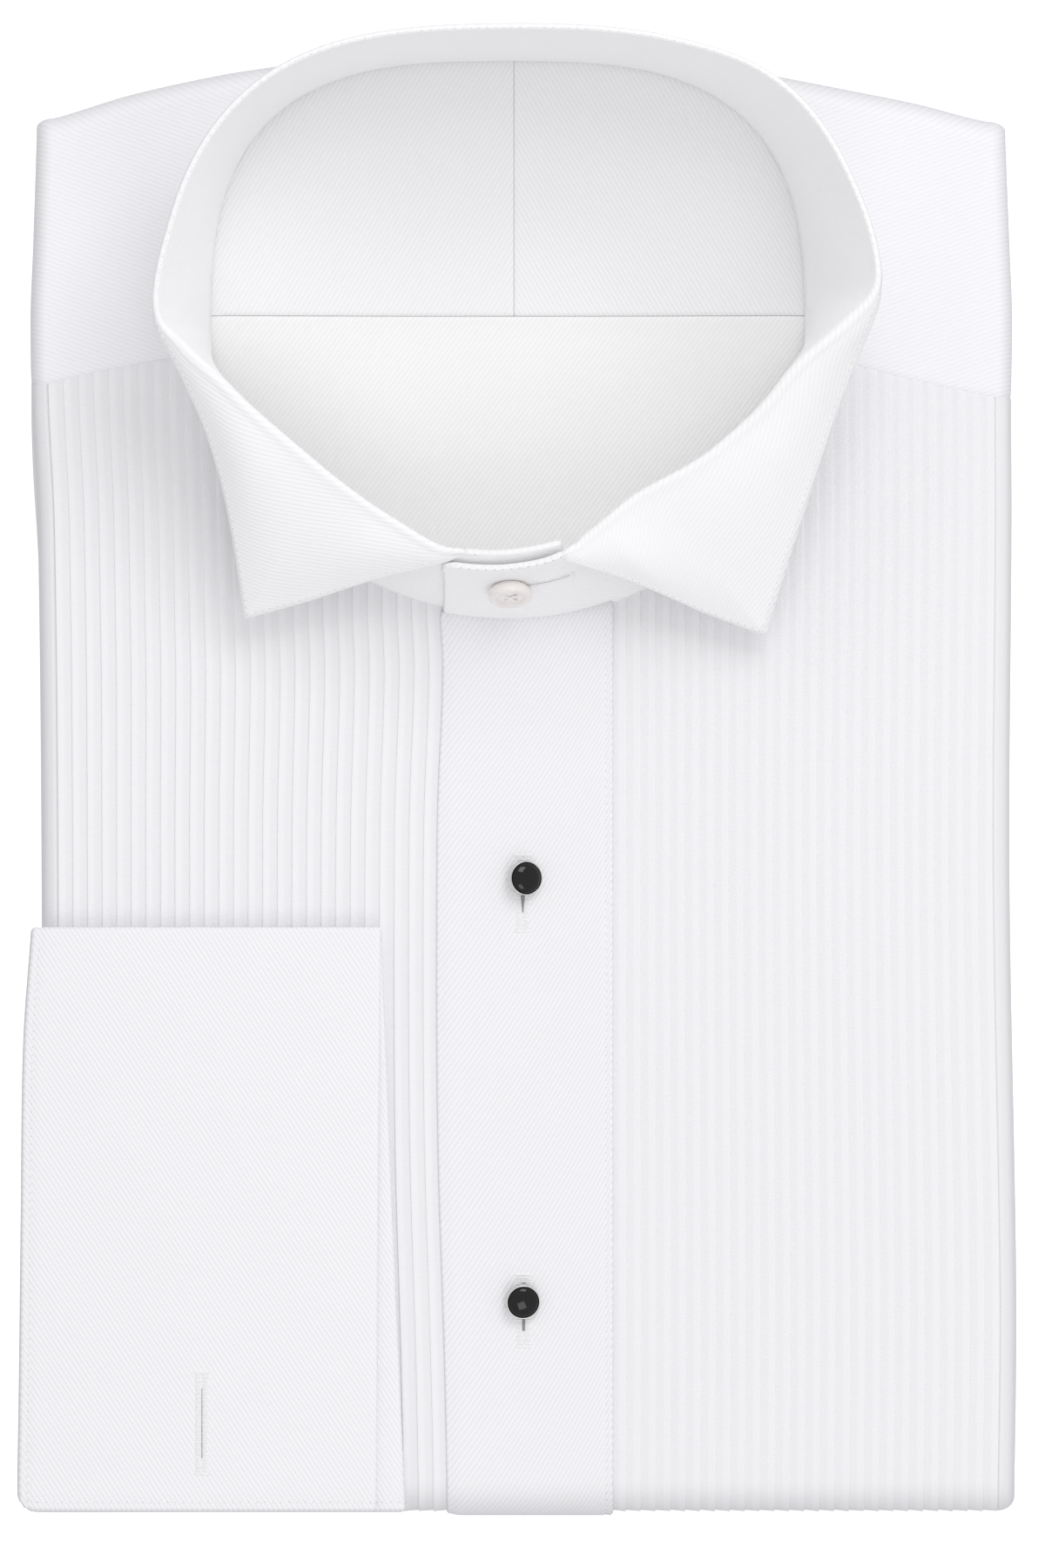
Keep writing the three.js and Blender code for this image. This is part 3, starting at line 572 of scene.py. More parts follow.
def twill_group():
    """Diagonal ribs broken into threads, with painted shade in the hollows between the ribs and random tone
    from noise.
    """
    group, given, x, y = new_group("Twill ribs", Angle=60.0, Pitch=1.0)
    noise = add_node(group, "TexNoise", {"Scale": 9.0, "Detail": 2.0}, {"Vector": given["Vector"]})
    wobble = maths(group, "MULTIPLY_ADD", noise.outputs["Fac"], 0.3, -0.15)
    turn = maths(group, "RADIANS", given["Angle"])
    sine = maths(group, "SINE", turn)
    cosine = maths(group, "COSINE", turn)
    over = maths(group, "SUBTRACT", maths(group, "MULTIPLY", y, cosine), maths(group, "MULTIPLY", x, sine))
    along = maths(group, "ADD", maths(group, "MULTIPLY", x, cosine), maths(group, "MULTIPLY", y, sine))
    rib_place = maths(group, "ADD", maths(group, "DIVIDE", over, given["Pitch"]), wobble)
    rib = maths(group, "MULTIPLY_ADD", wave(group, rib_place), 0.5, 0.5)
    soft = maths(group, "POWER", rib, 0.7)
    stagger = maths(group, "MULTIPLY", rib_place, 0.5)
    thread_place = maths(group, "ADD", maths(group, "DIVIDE", along, THREAD_LENGTH), stagger)
    height = maths(group, "ADD", soft, maths(group, "MULTIPLY", wave(group, thread_place), 0.07))
    # Shade: painted shade in the hollows between the ribs, mixed with random tone from the noise
    shade = maths(group, "MULTIPLY_ADD", soft, 0.85, maths(group, "MULTIPLY", noise.outputs["Fac"], 0.15))
    return close_group(group, height, shade)


def plain_group():
    """Plain weave: over and under threads with slubs along the cloth."""
    group, given, x, y = new_group("Plain weave", Pitch=0.55)
    warp, weft = (wave(group, maths(group, "DIVIDE", place, given["Pitch"])) for place in (x, y))
    stretch = add_node(group, "Mapping", {"Scale": (30.0, 220.0, 30.0)}, {"Vector": given["Vector"]})
    slub = add_node(group, "TexNoise", {"Scale": 1.0, "Detail": 3.0}, {"Vector": stretch.outputs[0]})
    woven = maths(group, "MULTIPLY", warp, weft)
    height = maths(group, "MULTIPLY_ADD", woven, 0.35, maths(group, "MULTIPLY", slub.outputs["Fac"], 0.9))
    return close_group(group, height, slub.outputs["Fac"])


def pleat_shade_group():
    """Plain weave in pleats with painted light and shade: the raised, doubled half of each pleat is painted
    whiter and the single half darker, for the light on the pleat's slopes.
    """
    group, given, x, _ = new_group("Pleated weave with painted shade", Pleat=3.43)
    weave = add_node(group, "Group")
    weave.node_tree = group_named("Plain weave")
    group.links.new(given["Vector"], weave.inputs["Vector"])
    # Painted light and shade across each pleat, by where a point lies in its pleat
    share = maths(group, "FRACT", maths(group, "DIVIDE", x, given["Pleat"]))
    painted_pleat_shade = add_node(group, "MapRange", {"From Min": 0.42, "From Max": 0.62}, {"Value": share})
    painted_pleat_shade.interpolation_type = "SMOOTHSTEP"
    thread = maths(group, "MULTIPLY", weave.outputs["Shade"], 0.3)
    shade = maths(group, "MULTIPLY_ADD", painted_pleat_shade.outputs["Result"], 0.7, thread)
    return close_group(group, weave.outputs["Height"], shade)


WEAVES = {"Twill ribs": twill_group, "Plain weave": plain_group, "Pleated weave with painted shade": pleat_shade_group}


def group_named(name):
    return bpy.data.node_groups.get(name) or WEAVES[name]()


def new_material(name, values):
    """A material, its nodes and its shader, whose inputs take the values given."""
    material = bpy.data.materials.new(name)
    material.use_nodes = True
    shader = material.node_tree.nodes["Principled BSDF"]
    for label, value in values.items():
        shader.inputs[label].default_value = value
    return material, material.node_tree, shader


def colour_and_relief(tree, shader, shade, dark, light, height, strength, distance):
    """Feeds the shader a colour between two, by shade, and a bump, by height."""
    blend = tree.nodes.new("ShaderNodeMix")
    blend.data_type = "RGBA"
    tree.links.new(shade, blend.inputs["Factor"])
    blend.inputs["A"].default_value = (*dark, 1)
    blend.inputs["B"].default_value = (*light, 1)
    tree.links.new(blend.outputs["Result"], shader.inputs["Base Color"])
    bump = add_node(tree, "Bump", {"Strength": strength, "Distance": distance}, {"Height": height})
    tree.links.new(bump.outputs["Normal"], shader.inputs["Normal"])


def cotton(name, weave, angle=60.0, relief=0.00008, painted_shade_and_tone=0.05, colour=None):
    """White cotton with a raised weave and a soft sheen; its colour is darker in the weave's hollows as
    painted shade, with random tone along the threads.
    """
    sizes = bpy.context.scene.shirt_sizes
    base = tuple(colour or sizes.cloth_colour)
    material, tree, shader = new_material(name, {
        "Roughness": 0.82, "Specular IOR Level": 0.22, "Sheen Weight": 0.06, "Sheen Roughness": 0.45,
    })
    places = tree.nodes.new("ShaderNodeUVMap")
    places.uv_map = "cloth"
    node = tree.nodes.new("ShaderNodeGroup")
    node.node_tree = group_named(weave)
    tree.links.new(places.outputs[0], node.inputs["Vector"])
    for label, value in (("Angle", angle), ("Pleat", sizes.pleat_pitch)):
        if label in node.inputs:
            node.inputs[label].default_value = value
    if weave == "Twill ribs":
        node.inputs["Pitch"].default_value = sizes.twill_pitch
    # Dark and light colours: painted shade in the weave's hollows and across each pleat, with random tone of
    # the threads
    dark = [c * (1 - painted_shade_and_tone) for c in base]
    light = [min(c * (1 + painted_shade_and_tone * 0.3), 0.98) for c in base]
    colour_and_relief(tree, shader, node.outputs["Shade"], dark, light, node.outputs["Height"], 1.0, relief)
    return material


def smooth_material(name, colour, roughness, metallic=0.0, coat=0.0, scratch=0.00001, scale=900.0):
    """A hard finish with fine wear in its polish."""
    values = {"Metallic": metallic, "Coat Weight": coat, "Coat Roughness": 0.04}
    material, tree, shader = new_material(name, values)
    places = tree.nodes.new("ShaderNodeTexCoord")
    noise = add_node(tree, "TexNoise", {"Scale": scale, "Detail": 3.0}, {"Vector": places.outputs["Object"]})
    polish = {"To Min": max(roughness - 0.04, 0.02), "To Max": roughness + 0.06}
    wear = add_node(tree, "MapRange", polish, {"Value": noise.outputs["Fac"]})
    tree.links.new(wear.outputs["Result"], shader.inputs["Roughness"])
    dark = [c * 0.9 for c in colour]
    light = [min(c * 1.08, 1) for c in colour]
    colour_and_relief(tree, shader, noise.outputs["Fac"], dark, light, noise.outputs["Fac"], 0.3, scratch)
    return material


# Colour, roughness and grain of the small finishes
SMALL_FINISHES = {
    "Sewing thread": ((0.98, 0.98, 0.985), 0.6, 2500.0),
    # Dark marks as painted shade in the needle holes
    "Needle hole painted shade": ((0.56, 0.56, 0.6), 0.9, 1500.0),
    # A dark ribbon as painted shade in a buttonhole's gaping slit
    "Buttonhole slit painted shade": ((0.3, 0.3, 0.33), 0.9, 1500.0),
}


def small_finish(name):
    colour, roughness, scale = SMALL_FINISHES[name]
    return bpy.data.materials.get(name) or smooth_material(name, colour, roughness, scale=scale)


# Threads


def unit_thread():
    """A short round-ended thread along X, one long, as points and quads."""
    rings = [(-0.5, 0.25), (-0.4, 0.8), (0.0, 1.0), (0.4, 0.8), (0.5, 0.25)]
    sides = 6
    turn = np.arange(sides) * 2 * math.pi / sides
    points = np.array([(x, r * math.cos(t), r * math.sin(t)) for x, r in rings for t in turn])
    faces = []
    for ring in range(len(rings) - 1):
        for k in range(sides):
            n = (k + 1) % sides
            faces.append((ring * sides + k, ring * sides + n, (ring + 1) * sides + n, (ring + 1) * sides + k))
    last = (len(rings) - 1) * sides
    caps = [(3, 2, 1, 0), (5, 4, 3, 0)]
    faces += caps + [tuple(last + k for k in cap[::-1]) for cap in caps]
    return points, np.array(faces)


def make_threads(name, centres, directions, normals, length, radius, finish="Sewing thread"):
    """One object of many short threads, each lying along a direction on a surface."""
    points, faces = unit_thread()
    centres = np.asarray(centres, float)
    x_axis = directions / np.linalg.norm(directions, axis=1, keepdims=True)
    z_axis = normals - x_axis * np.sum(normals * x_axis, axis=1, keepdims=True)
    z_axis /= np.maximum(np.linalg.norm(z_axis, axis=1, keepdims=True), 1e-9)
    y_axis = np.cross(z_axis, x_axis)
    local = (points * (length, radius, radius))[None]
    world = centres[:, None] + local[..., :1] * x_axis[:, None] + local[..., 1:2] * y_axis[:, None]
    world = world + local[..., 2:] * z_axis[:, None]
    all_faces = (faces[None] + (np.arange(len(centres)) * len(points))[:, None, None]).reshape(-1, 4)
    made = make_object(name, world.reshape(-1, 3), all_faces, small_finish(finish))
    return made


def stitch_run(line, normals, pitch):
    """Places, directions and normals of even stitches along a line of points."""
    length = length_along(line)
    count = max(int(length[-1] / pitch), 1)
    at = (np.arange(count) + 0.5) * length[-1] / count
    ahead = read_points(at + 0.3, length, line)
    behind = read_points(at - 0.3, length, line)
    return read_points(at, length, line), ahead - behind + 1e-6, read_points(at, length, normals)


def make_stitches(name, runs):
    """Stitch lines, each a line of points with its normals, and dark marks between their stitches as painted
    shade in the needle holes.
    """
    pitch = bpy.context.scene.shirt_sizes.stitch_pitch
    parts = [stitch_run(line, normals, pitch) for line, normals in runs]
    place, direction, facing = (np.concatenate([p[k] for p in parts]) for k in range(3))
    unit = facing / np.maximum(np.linalg.norm(facing, axis=1, keepdims=True), 1e-9)
    ahead = direction / np.linalg.norm(direction, axis=1, keepdims=True)
    holes = place + ahead * pitch / 2 - unit * 0.06
    # Dark marks just under the surface: painted shade in the needle holes
    make_threads(name + "_holes", holes, direction, facing, 0.3, 0.12, "Needle hole painted shade")
    return make_threads(name, place - unit * 0.02, direction, facing, pitch * 0.72, 0.13)


def inset_line(grid, distance):
    """The line that lies one distance in from a grid's last row, with its normals."""
    normals = normals_of(grid)
    lines = []
    facings = []
    for column in range(grid.shape[1]):
        path = grid[::-1, column]
        length = length_along(path)
        lines.append(read_points(distance, length, path))
        facings.append(read_points(distance, length, normals[::-1, column]))
    return np.array(lines), np.array(facings)


def unbroken(line, normals, keep):
    """The stretches of a line that are kept."""
    stretches = np.split(np.arange(len(keep)), np.flatnonzero(np.diff(keep.astype(int))) + 1)
    return [(line[s], normals[s]) for s in stretches if keep[s[0]] and len(s) > 2]


def make_buttonhole(name, place, length, width, slit, finish="Buttonhole slit painted shade"):
    """A worked buttonhole: close stitches on both sides of a slit, a bar at each end, and a dark ribbon in
    the slit as painted shade.

    place turns a distance along and across the buttonhole into a point, with its along, across and up
    directions. slit is where the cloth gapes: from, to, and half its width at both.
    """
    pitch = 0.35
    bar_stitches = 7
    count = int(length / pitch)
    along = (np.arange(count) + 0.5) * length / count - length / 2
    gape_at = lambda a: float(np.interp(a, slit[:2], slit[2:], left=0.06, right=0.06))
    spots = []
    for side in (-1, 1):
        for k, a in enumerate(along):
            spots.append((a, side * (gape_at(a) * 0.7 + width / 4 + 0.04), 0.04 * math.sin(k * 2.3)))
    for end in (-1, 1):
        for k in range(bar_stitches):
            out = length / 2 + 0.1 + 0.12 * (k % 2)
            spots.append((end * out, (k - bar_stitches // 2) * width / 7.5, 0.06))
    points, headings, facings = [], [], []
    for a, b, rise in spots:
        point, ahead, across, up = place(a, b)
        points.append(point + up * (0.02 + rise))
        headings.append(across + ahead * 0.1 * math.sin(a * 9))
        facings.append(up)
    make_threads(name, np.array(points), np.array(headings), np.array(facings), width * 0.5, 0.165)
    # A dark ribbon in the slit: painted shade where the cloth gapes
    slit_shade_points = []
    steps = np.linspace(*slit[:2], 14)
    for a in steps:
        for side in (-1, 1):
            point, _, _, up = place(a, side * gape_at(a))
            slit_shade_points.append(point + up * 0.1)
    faces = [(2 * k, 2 * k + 2, 2 * k + 3, 2 * k + 1) for k in range(len(steps) - 1)]
    slit_shade = make_object(name + "_slit_shade", slit_shade_points, faces, small_finish(finish))
    bpy.context.view_layer.objects.active = slit_shade
    thicken = slit_shade.modifiers.new("Thickness", "SOLIDIFY")
    thicken.thickness = 0.00008
    thicken.offset = 0
    bpy.ops.object.modifier_apply(modifier=thicken.name)


def upright_place(centre, height):
    """Places along a buttonhole that runs up the front."""
    across, ahead, up = np.eye(3)

    def place(a, b):
        x = centre[0] + b
        y = centre[1] + a
        return np.array((x, y, height(x, y))), ahead, across, up

    return place


# Surfaces that trimmings lie on


def placket_press(x, y):
    """Shallow dips where the seam, the free edge and the studs press the placket."""
    seam = -0.22 * dent(x - (PLACKET_RIGHT - PLACKET_SEAM), 0.45)
    fold = -0.45 * dent(x - placket_left(y), 1.5)
    studs = 0.0
    for sx, sy, _, _ in STUDS.values():
        studs = studs - 0.15 * np.exp(-((x - sx) ** 2 + (y - sy) ** 2) / 34)
    return seam + fold + studs


def cuff_edge(column, y):
    return follow(CUFF_EDGES, y, column)


def cuff_swell(x, y):
    return 0.25 * np.sin(x / 26 + 0.5) * np.sin(y / 33 + 1.4)


# Operators, one for each piece or group of like pieces


class SHIRT_OT_layers(bpy.types.Operator):
    """Make the hidden layers of the fold, rolled down each side"""

    bl_idname = "shirt.layers"
    bl_label = "Folded layers"

    def execute(self, context):
        sizes = context.scene.shirt_sizes
        material = cotton("Cotton of the folded layers", "Plain weave")
        hem = HEM_LINE + HEM_RADIUS
        top_share = np.concatenate([[0, 0.02, 0.06], np.linspace(0.1, 0.9, 27), [0.94, 0.98, 1]])

        def side_levels(edge, side, y):
            total = pack_height(edge, y) / 2 - 1
            height = total / sizes.fold_layers
            levels = []
            for k in range(sizes.fold_layers):
                slack = 0.35 * math.sin(y / 29 + k * 2.2 + side) + 0.2 * math.sin(y / 11 + k)
                for turn in ROLL_TURNS:
                    out = 1.5 * (math.cos(turn) - 1) - 0.25 + 0.25 * slack
                    levels.append((edge + side * out, (k + 0.5 + math.sin(turn) / 2) * height + 0.1))
            levels.append((edge - side * 2.4, total + 0.3))
            return levels

        def section(share, shrink, reach, narrow):
            y_of = lambda x: mix(hem, follow(SHOULDER_FOLD, x) - 8, share) + reach
            middle = float(np.clip(y_of(0.0), -170, 150))
            left = float(side_edge(-1, middle)) + narrow
            right = float(side_edge(1, middle)) - 0.6 - narrow
            flat_x = mix(left + 5, right - 5, top_share)
            loop = [(x, y_of(x), 0.0) for x in flat_x]
            loop += [(x, y_of(x), z) for x, z in side_levels(right, 1, float(y_of(right)))]
            for x in flat_x[::-1]:
                y = y_of(x)
                under = pack_height(x, y) - CLOTH - 0.9
                beside = neck_floor(x, y) - 3.6
                z = mix(min(beside, under), under, ease(neck_ratio(x, y), 1.2, 1.45))
                loop.append((x, y, z))
            loop += [(x, y_of(x), z) for x, z in reversed(side_levels(left, -1, float(y_of(left))))]
            loop = np.array([[float(v) for v in p] for p in loop])
            if shrink:
                loop[:, 2] = mix(loop[:, 2], pack_height(loop[:, 0], loop[:, 1]) / 2, shrink)
            return loop

        loops = [section(0, 0.85, -4.4, 4.4), section(0, 0.6, -4, 4), section(0, 0.34, -1.4, 2)]
        loops += [section(s, 0, 0.6 * (1 - s), 0) for s in np.linspace(0, 1, 70)]
        loops += [section(1, 0.3, 1.6, 0.4), section(1, 0.6, 2.4, 1.0), section(1, 0.9, 2.8, 1.6)]
        grid = np.array(loops)
        rows, columns = grid.shape[:2]
        index = np.arange(rows * columns).reshape(rows, columns)
        wrapped = np.concatenate([index, index[:, :1]], axis=1)
        faces = np.stack([wrapped[:-1, :-1], wrapped[:-1, 1:], wrapped[1:, 1:], wrapped[1:, :-1]], axis=-1)
        faces = faces.reshape(-1, 4)
        points = grid.reshape(-1, 3)
        count = len(top_share)
        sides = sizes.fold_layers * len(ROLL_TURNS) + 1
        lower = np.arange(count)
        upper = np.arange(count)[::-1] + count + sides
        caps = []
        for row, flip in ((0, True), (rows - 1, False)):
            base = row * columns
            fans = [(lower[k], lower[k + 1], upper[k + 1], upper[k]) for k in range(count - 1)]
            fans.append((lower[-1], *range(count, count + sides), upper[-1]))
            fans.append((upper[0], *range(2 * count + sides, 2 * (count + sides)), lower[0]))
            fans = [tuple(base + k for k in fan) for fan in fans]
            caps += [fan[::-1] if flip else fan for fan in fans]
        every = [tuple(f) for f in faces] + caps
        a, b, c = (points[faces[:, k]] for k in range(3))
        if np.einsum("ij,ij->", a, np.cross(b, c)) < 0:
            every = [f[::-1] for f in every]
        v = np.repeat(np.arange(rows)[:, None] * 4.8, columns, axis=1)
        u = length_along(grid[rows // 2])
        uv = np.stack([np.repeat(u[None], rows, axis=0), v], axis=-1).reshape(-1, 2)
        made = make_object("folded_layers_cloth", points, every, material, uv)
        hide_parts("folded_layers")
        return {"FINISHED"}


class SHIRT_OT_fronts(bpy.types.Operator):
    """Make both pleated fronts"""

    bl_idname = "shirt.fronts"
    bl_label = "Pleated fronts"

    def execute(self, context):
        # The pleats' cotton carries painted light and shade across each pleat
        material = cotton(
            "Pleated cotton with painted shade", "Pleated weave with painted shade", relief=0.00006, painted_shade_and_tone=0.04,
            colour=context.scene.shirt_sizes.pleat_colour
        )
        right_strip = np.concatenate([[17.0, 8.0, 0.0, -8.0, -13.0], np.linspace(-15, -17.6, 4)])
        left_strip = np.array([19.4, 20.4, 21.2, 21.7])
        make_front("front_right", -1, lambda y: placket_left(y) - 0.1, material, right_strip)
        make_front("front_left", 1, lambda y: np.full_like(y, PLACKET_RIGHT + 0.1), material, left_strip)
        return {"FINISHED"}


class SHIRT_OT_placket(bpy.types.Operator):
    """Make the twill placket with its sewn edge"""

    bl_idname = "shirt.placket"
    bl_label = "Placket"

    def execute(self, context):
        material = cotton("Placket twill", "Twill ribs", angle=57.0, relief=0.0001, painted_shade_and_tone=0.065)
        share = np.concatenate([
            [0, 0.008, 0.02, 0.04], np.linspace(0.07, 0.93, 30), [0.95, 0.962, 0.972, 0.985, 1],
        ])
        across = lambda s, y: mix(placket_left(y), PLACKET_RIGHT, s)
        rows = np.linspace(0, 1, 90) ** 1.1

        def grid(sink, press):
            y0 = np.full(len(share), PLACKET_TOP)
            for _ in range(4):
                y0 = front_start(1)(across(share, y0))
            y = mix(y0[None], HEM_LINE + HEM_RADIUS, rows[:, None])
            x = across(share[None], y)
            under = sink - (placket_press(x, y) if press else 0 * x)
            return turned_rows(x, y, under, under, HEM_FOLDS, -1, HEM_RADIUS)

        outer = grid(-PLACKET_LIFT, True)
        inner = grid(PLACKET_WALL - PLACKET_LIFT, False)
        made = make_sheet("placket_cloth", outer, inner, walk_uv(inner) * (1, -1), material)
        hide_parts("placket")
        normals = normals_of(outer)
        normals *= np.sign(normals[5, 5, 2])
        seam_share = 1 - PLACKET_SEAM / (PLACKET_RIGHT - placket_left(np.array(-50.0)))
        column = int(np.argmin(np.abs(share - seam_share)))
        make_stitches("placket_seam_stitches", [(outer[1:, column], normals[1:, column])])
        return {"FINISHED"}


class SHIRT_OT_yokes(bpy.types.Operator):
    """Make both halves of the split yoke, over the shoulders"""

    bl_idname = "shirt.yokes"
    bl_label = "Split yoke"

    def execute(self, context):
        folds = np.radians(np.linspace(8, 168, 18))
        for name, side, angle in (("yoke_right", -1, -20.0), ("yoke_left", 1, 20.0)):
            label = "Yoke twill " + ("right" if side < 0 else "left")
            material = cotton(label, "Twill ribs", angle, 0.00004, 0.045)
            around = np.radians(np.linspace(88, 0, 46))
            around = around if side > 0 else math.pi - around
            neck_x = NECK_X + neck_radius(around) * (1 + NECK_TOUCH) * np.cos(around)
            neck_side = NECK_X + side * NECK_ACROSS * (1 + NECK_TOUCH)
            split = YOKE_SPLIT_X + side * SEAM / 2
            fixed = np.concatenate([[split], neck_x])
            beside = np.linspace(0.004, 1, 34)

            def across(_, y):
                y = np.atleast_2d(y)
                edge = side_edge(side, y) - side * SIDE_RADIUS
                part = np.broadcast_to(fixed, (y.shape[0], len(fixed)))
                rest = mix(neck_side, edge[:, len(fixed):len(fixed) + len(beside)], beside[None])
                return np.concatenate([part, rest, edge[:, len(fixed) + len(beside):]], axis=1)

            count = len(fixed) + len(beside) + len(ROLLS)
            rolls = np.concatenate([np.zeros(len(fixed) + len(beside)), ROLLS])

            def start(x):
                beyond = np.abs(x - NECK_X) >= NECK_ACROSS * (1 + NECK_TOUCH) + 1e-6
                return np.where(beyond, follow(YOKE_SEAM, x), neckline_y(x, 1 + NECK_TOUCH, 1))

            fold_y = lambda x: follow(SHOULDER_FOLD, x)
            finish = lambda x: np.maximum(fold_y(x) - 5, start(x) + 0.4)
            y0 = np.full(count, 120.0)
            y1 = np.full(count, 150.0)
            for _ in range(5):
                y0 = start(across(None, y0)[0])
                y1 = finish(across(None, y1)[0])
            y = mix(y0[None], y1[None], np.linspace(0, 1, 44)[:, None])
            x = across(None, y)
            radius = np.repeat(fold_y(x[-1:]) - y[-1:], len(folds), axis=0)

            def grid(sink, dip):
                under = sink + dip * dent((y - y0[None]) - 0.4, 0.8)
                return turned_rows(x, y, under, np.full_like(x, sink), folds, 1, radius, side, rolls)

            outer = grid(0.0, 0.25)
            inner = grid(CLOTH, 0.0)
            made = make_sheet(name + "_cloth", outer, inner, flat_uv(inner), material)
            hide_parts(name)
        return {"FINISHED"}


class SHIRT_OT_inside(bpy.types.Operator):
    """Make the yoke's inside and the back, seen down the neck"""

    bl_idname = "shirt.inside"
    bl_label = "Inside of the neck"

    def execute(self, context):
        sizes = context.scene.shirt_sizes
        reach = 1.014
        edge = NECK_ACROSS * (reach - 0.001)
        seam_line = lambda x: INNER_SEAM_Y + 0 * x
        lining_top = lambda x: np.maximum(neckline_y(x, reach, 1), INNER_SEAM_Y + 3)
        back_low = lambda x: neckline_y(x, 1.08, -1)
        back_top = lambda x: INNER_SEAM_Y - 0.21 + 0 * x
        even = np.linspace(0, 1, 70)
        from_split = np.concatenate([[0, 0.0008, 0.0025, 0.006], np.sin(even * math.pi / 2)[1:]])
        rows = np.linspace(0, 1, 60) ** 1.6
        look = (0.00007, 0.05, sizes.lining_colour)
        seam = (0.5, 0.12, 0.15)
        size = (0.072, 0.062)
        right = mix(NECK_X - edge, YOKE_SPLIT_X - SEAM_GAP / 2, 1 - from_split[::-1])
        self.panel("yoke_lining_right", right, seam_line, lining_top, rows, (60.0, *look), seam, size)
        left = mix(YOKE_SPLIT_X + SEAM_GAP / 2, NECK_X + edge, from_split)
        self.panel("yoke_lining_left", left, seam_line, lining_top, rows, (-60.0, *look), seam, size)
        whole = mix(NECK_X - edge, NECK_X + edge, 0.5 - 0.5 * np.cos(even * math.pi))
        rows = 1 - np.linspace(1, 0, 60) ** 1.6
        # Lighter colour: painted light against the shade deep in the neck
        look = (0.00005, 0.05, sizes.back_colour_painted_light)
        seam = (0.1, 0.28, 0.0)
        self.panel("back", whole, back_low, back_top, rows, (55.0, *look), seam, (0.142, 0.078))
        return {"FINISHED"}

    def panel(self, name, columns, low, high, rows, twill, seam, size):
        """One panel; seam is its groove's depth, its welt's rise and its centre groove's depth."""
        material = cotton("Twill inside " + name, "Twill ribs", *twill)
        groove, welt, centre = seam
        x = np.repeat(columns[None], len(rows), axis=0)
        y = mix(low(x), high(x), rows[:, None])
        rise = -groove * dent(y - INNER_SEAM_Y, 0.45) - centre * dent(x - YOKE_SPLIT_X, 0.28)
        rise = rise + welt * dent(y - INNER_SEAM_Y, 2.6)
        ratio = neck_ratio(x, y)
        swell = 0.14 * np.sin((x + 0.4 * y) / 17) * ease(ratio, 0.5, 0.8) * (1 - ease(ratio, 0.9, 1.0))
        z = neck_floor(x, y) + rise * (1 - ease(ratio, 0.93, 1.0)) + swell
        outer = np.stack([x, y, z], axis=-1)
        inner = outer - (0, 0, 1.2)
        made = make_sheet(name + "_cloth", outer, inner, flat_uv(outer), material, bulge=0.08)
        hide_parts(name)


def wing_edge(angles, top):
    """Where the wings end, for each angle of the collar; a narrow turned edge where there is no wing."""
    turn = np.radians(angles)
    turned = top + np.stack([0.25 * np.cos(turn), 0.25 * np.sin(turn), np.full(len(turn), -0.6)], 1)
    edge = turned.copy()
    for side, front in ((LEFT_WING_SIDE, LEFT_WING_FRONT), (RIGHT_WING_SIDE, RIGHT_WING_FRONT)):
        for table in (side, front):
            low, high = sorted((table[0, 0], table[-1, 0]))
            inside = (angles >= low) & (angles <= high)
            for k in range(3):
                edge[inside, k] = follow(table, angles[inside], k + 1)
        for start in (side[0], front[-1]):
            beyond = (angles - start[0]) * np.sign(start[0] - side[-1, 0])
            fading = (beyond > 0) & (beyond < WING_FADE)
            offset = start[1:] - top[np.argmin(np.abs(angles - start[0]))]
            amount = 1 - ease(beyond[fading], 0, WING_FADE)
            edge[fading] = mix(turned[fading], top[fading] + offset[None], amount[:, None])
    return edge


def collar_angles():
    """Angles round the neck, closer together at the lapped end, the wings' tips and the wings' starts."""
    angles = np.sort(np.concatenate([
        np.arange(-97.3, 283.5, 1.3), np.linspace(-50, -44, 13), np.linspace(214, 220, 13),
        np.linspace(LAP_END, -98, 14), np.linspace(5, 14, 12), np.linspace(170, 179, 12), [284.0],
    ]))
    following = np.roll(angles, -1)
    apart = np.concatenate([[True], np.diff(angles) > 0.12]) | np.isin(np.round(angles, 3), WING_TIPS)
    before_tip = np.isin(np.round(following, 3), WING_TIPS) & (following - angles < 0.12)
    return angles[apart & ~before_tip]


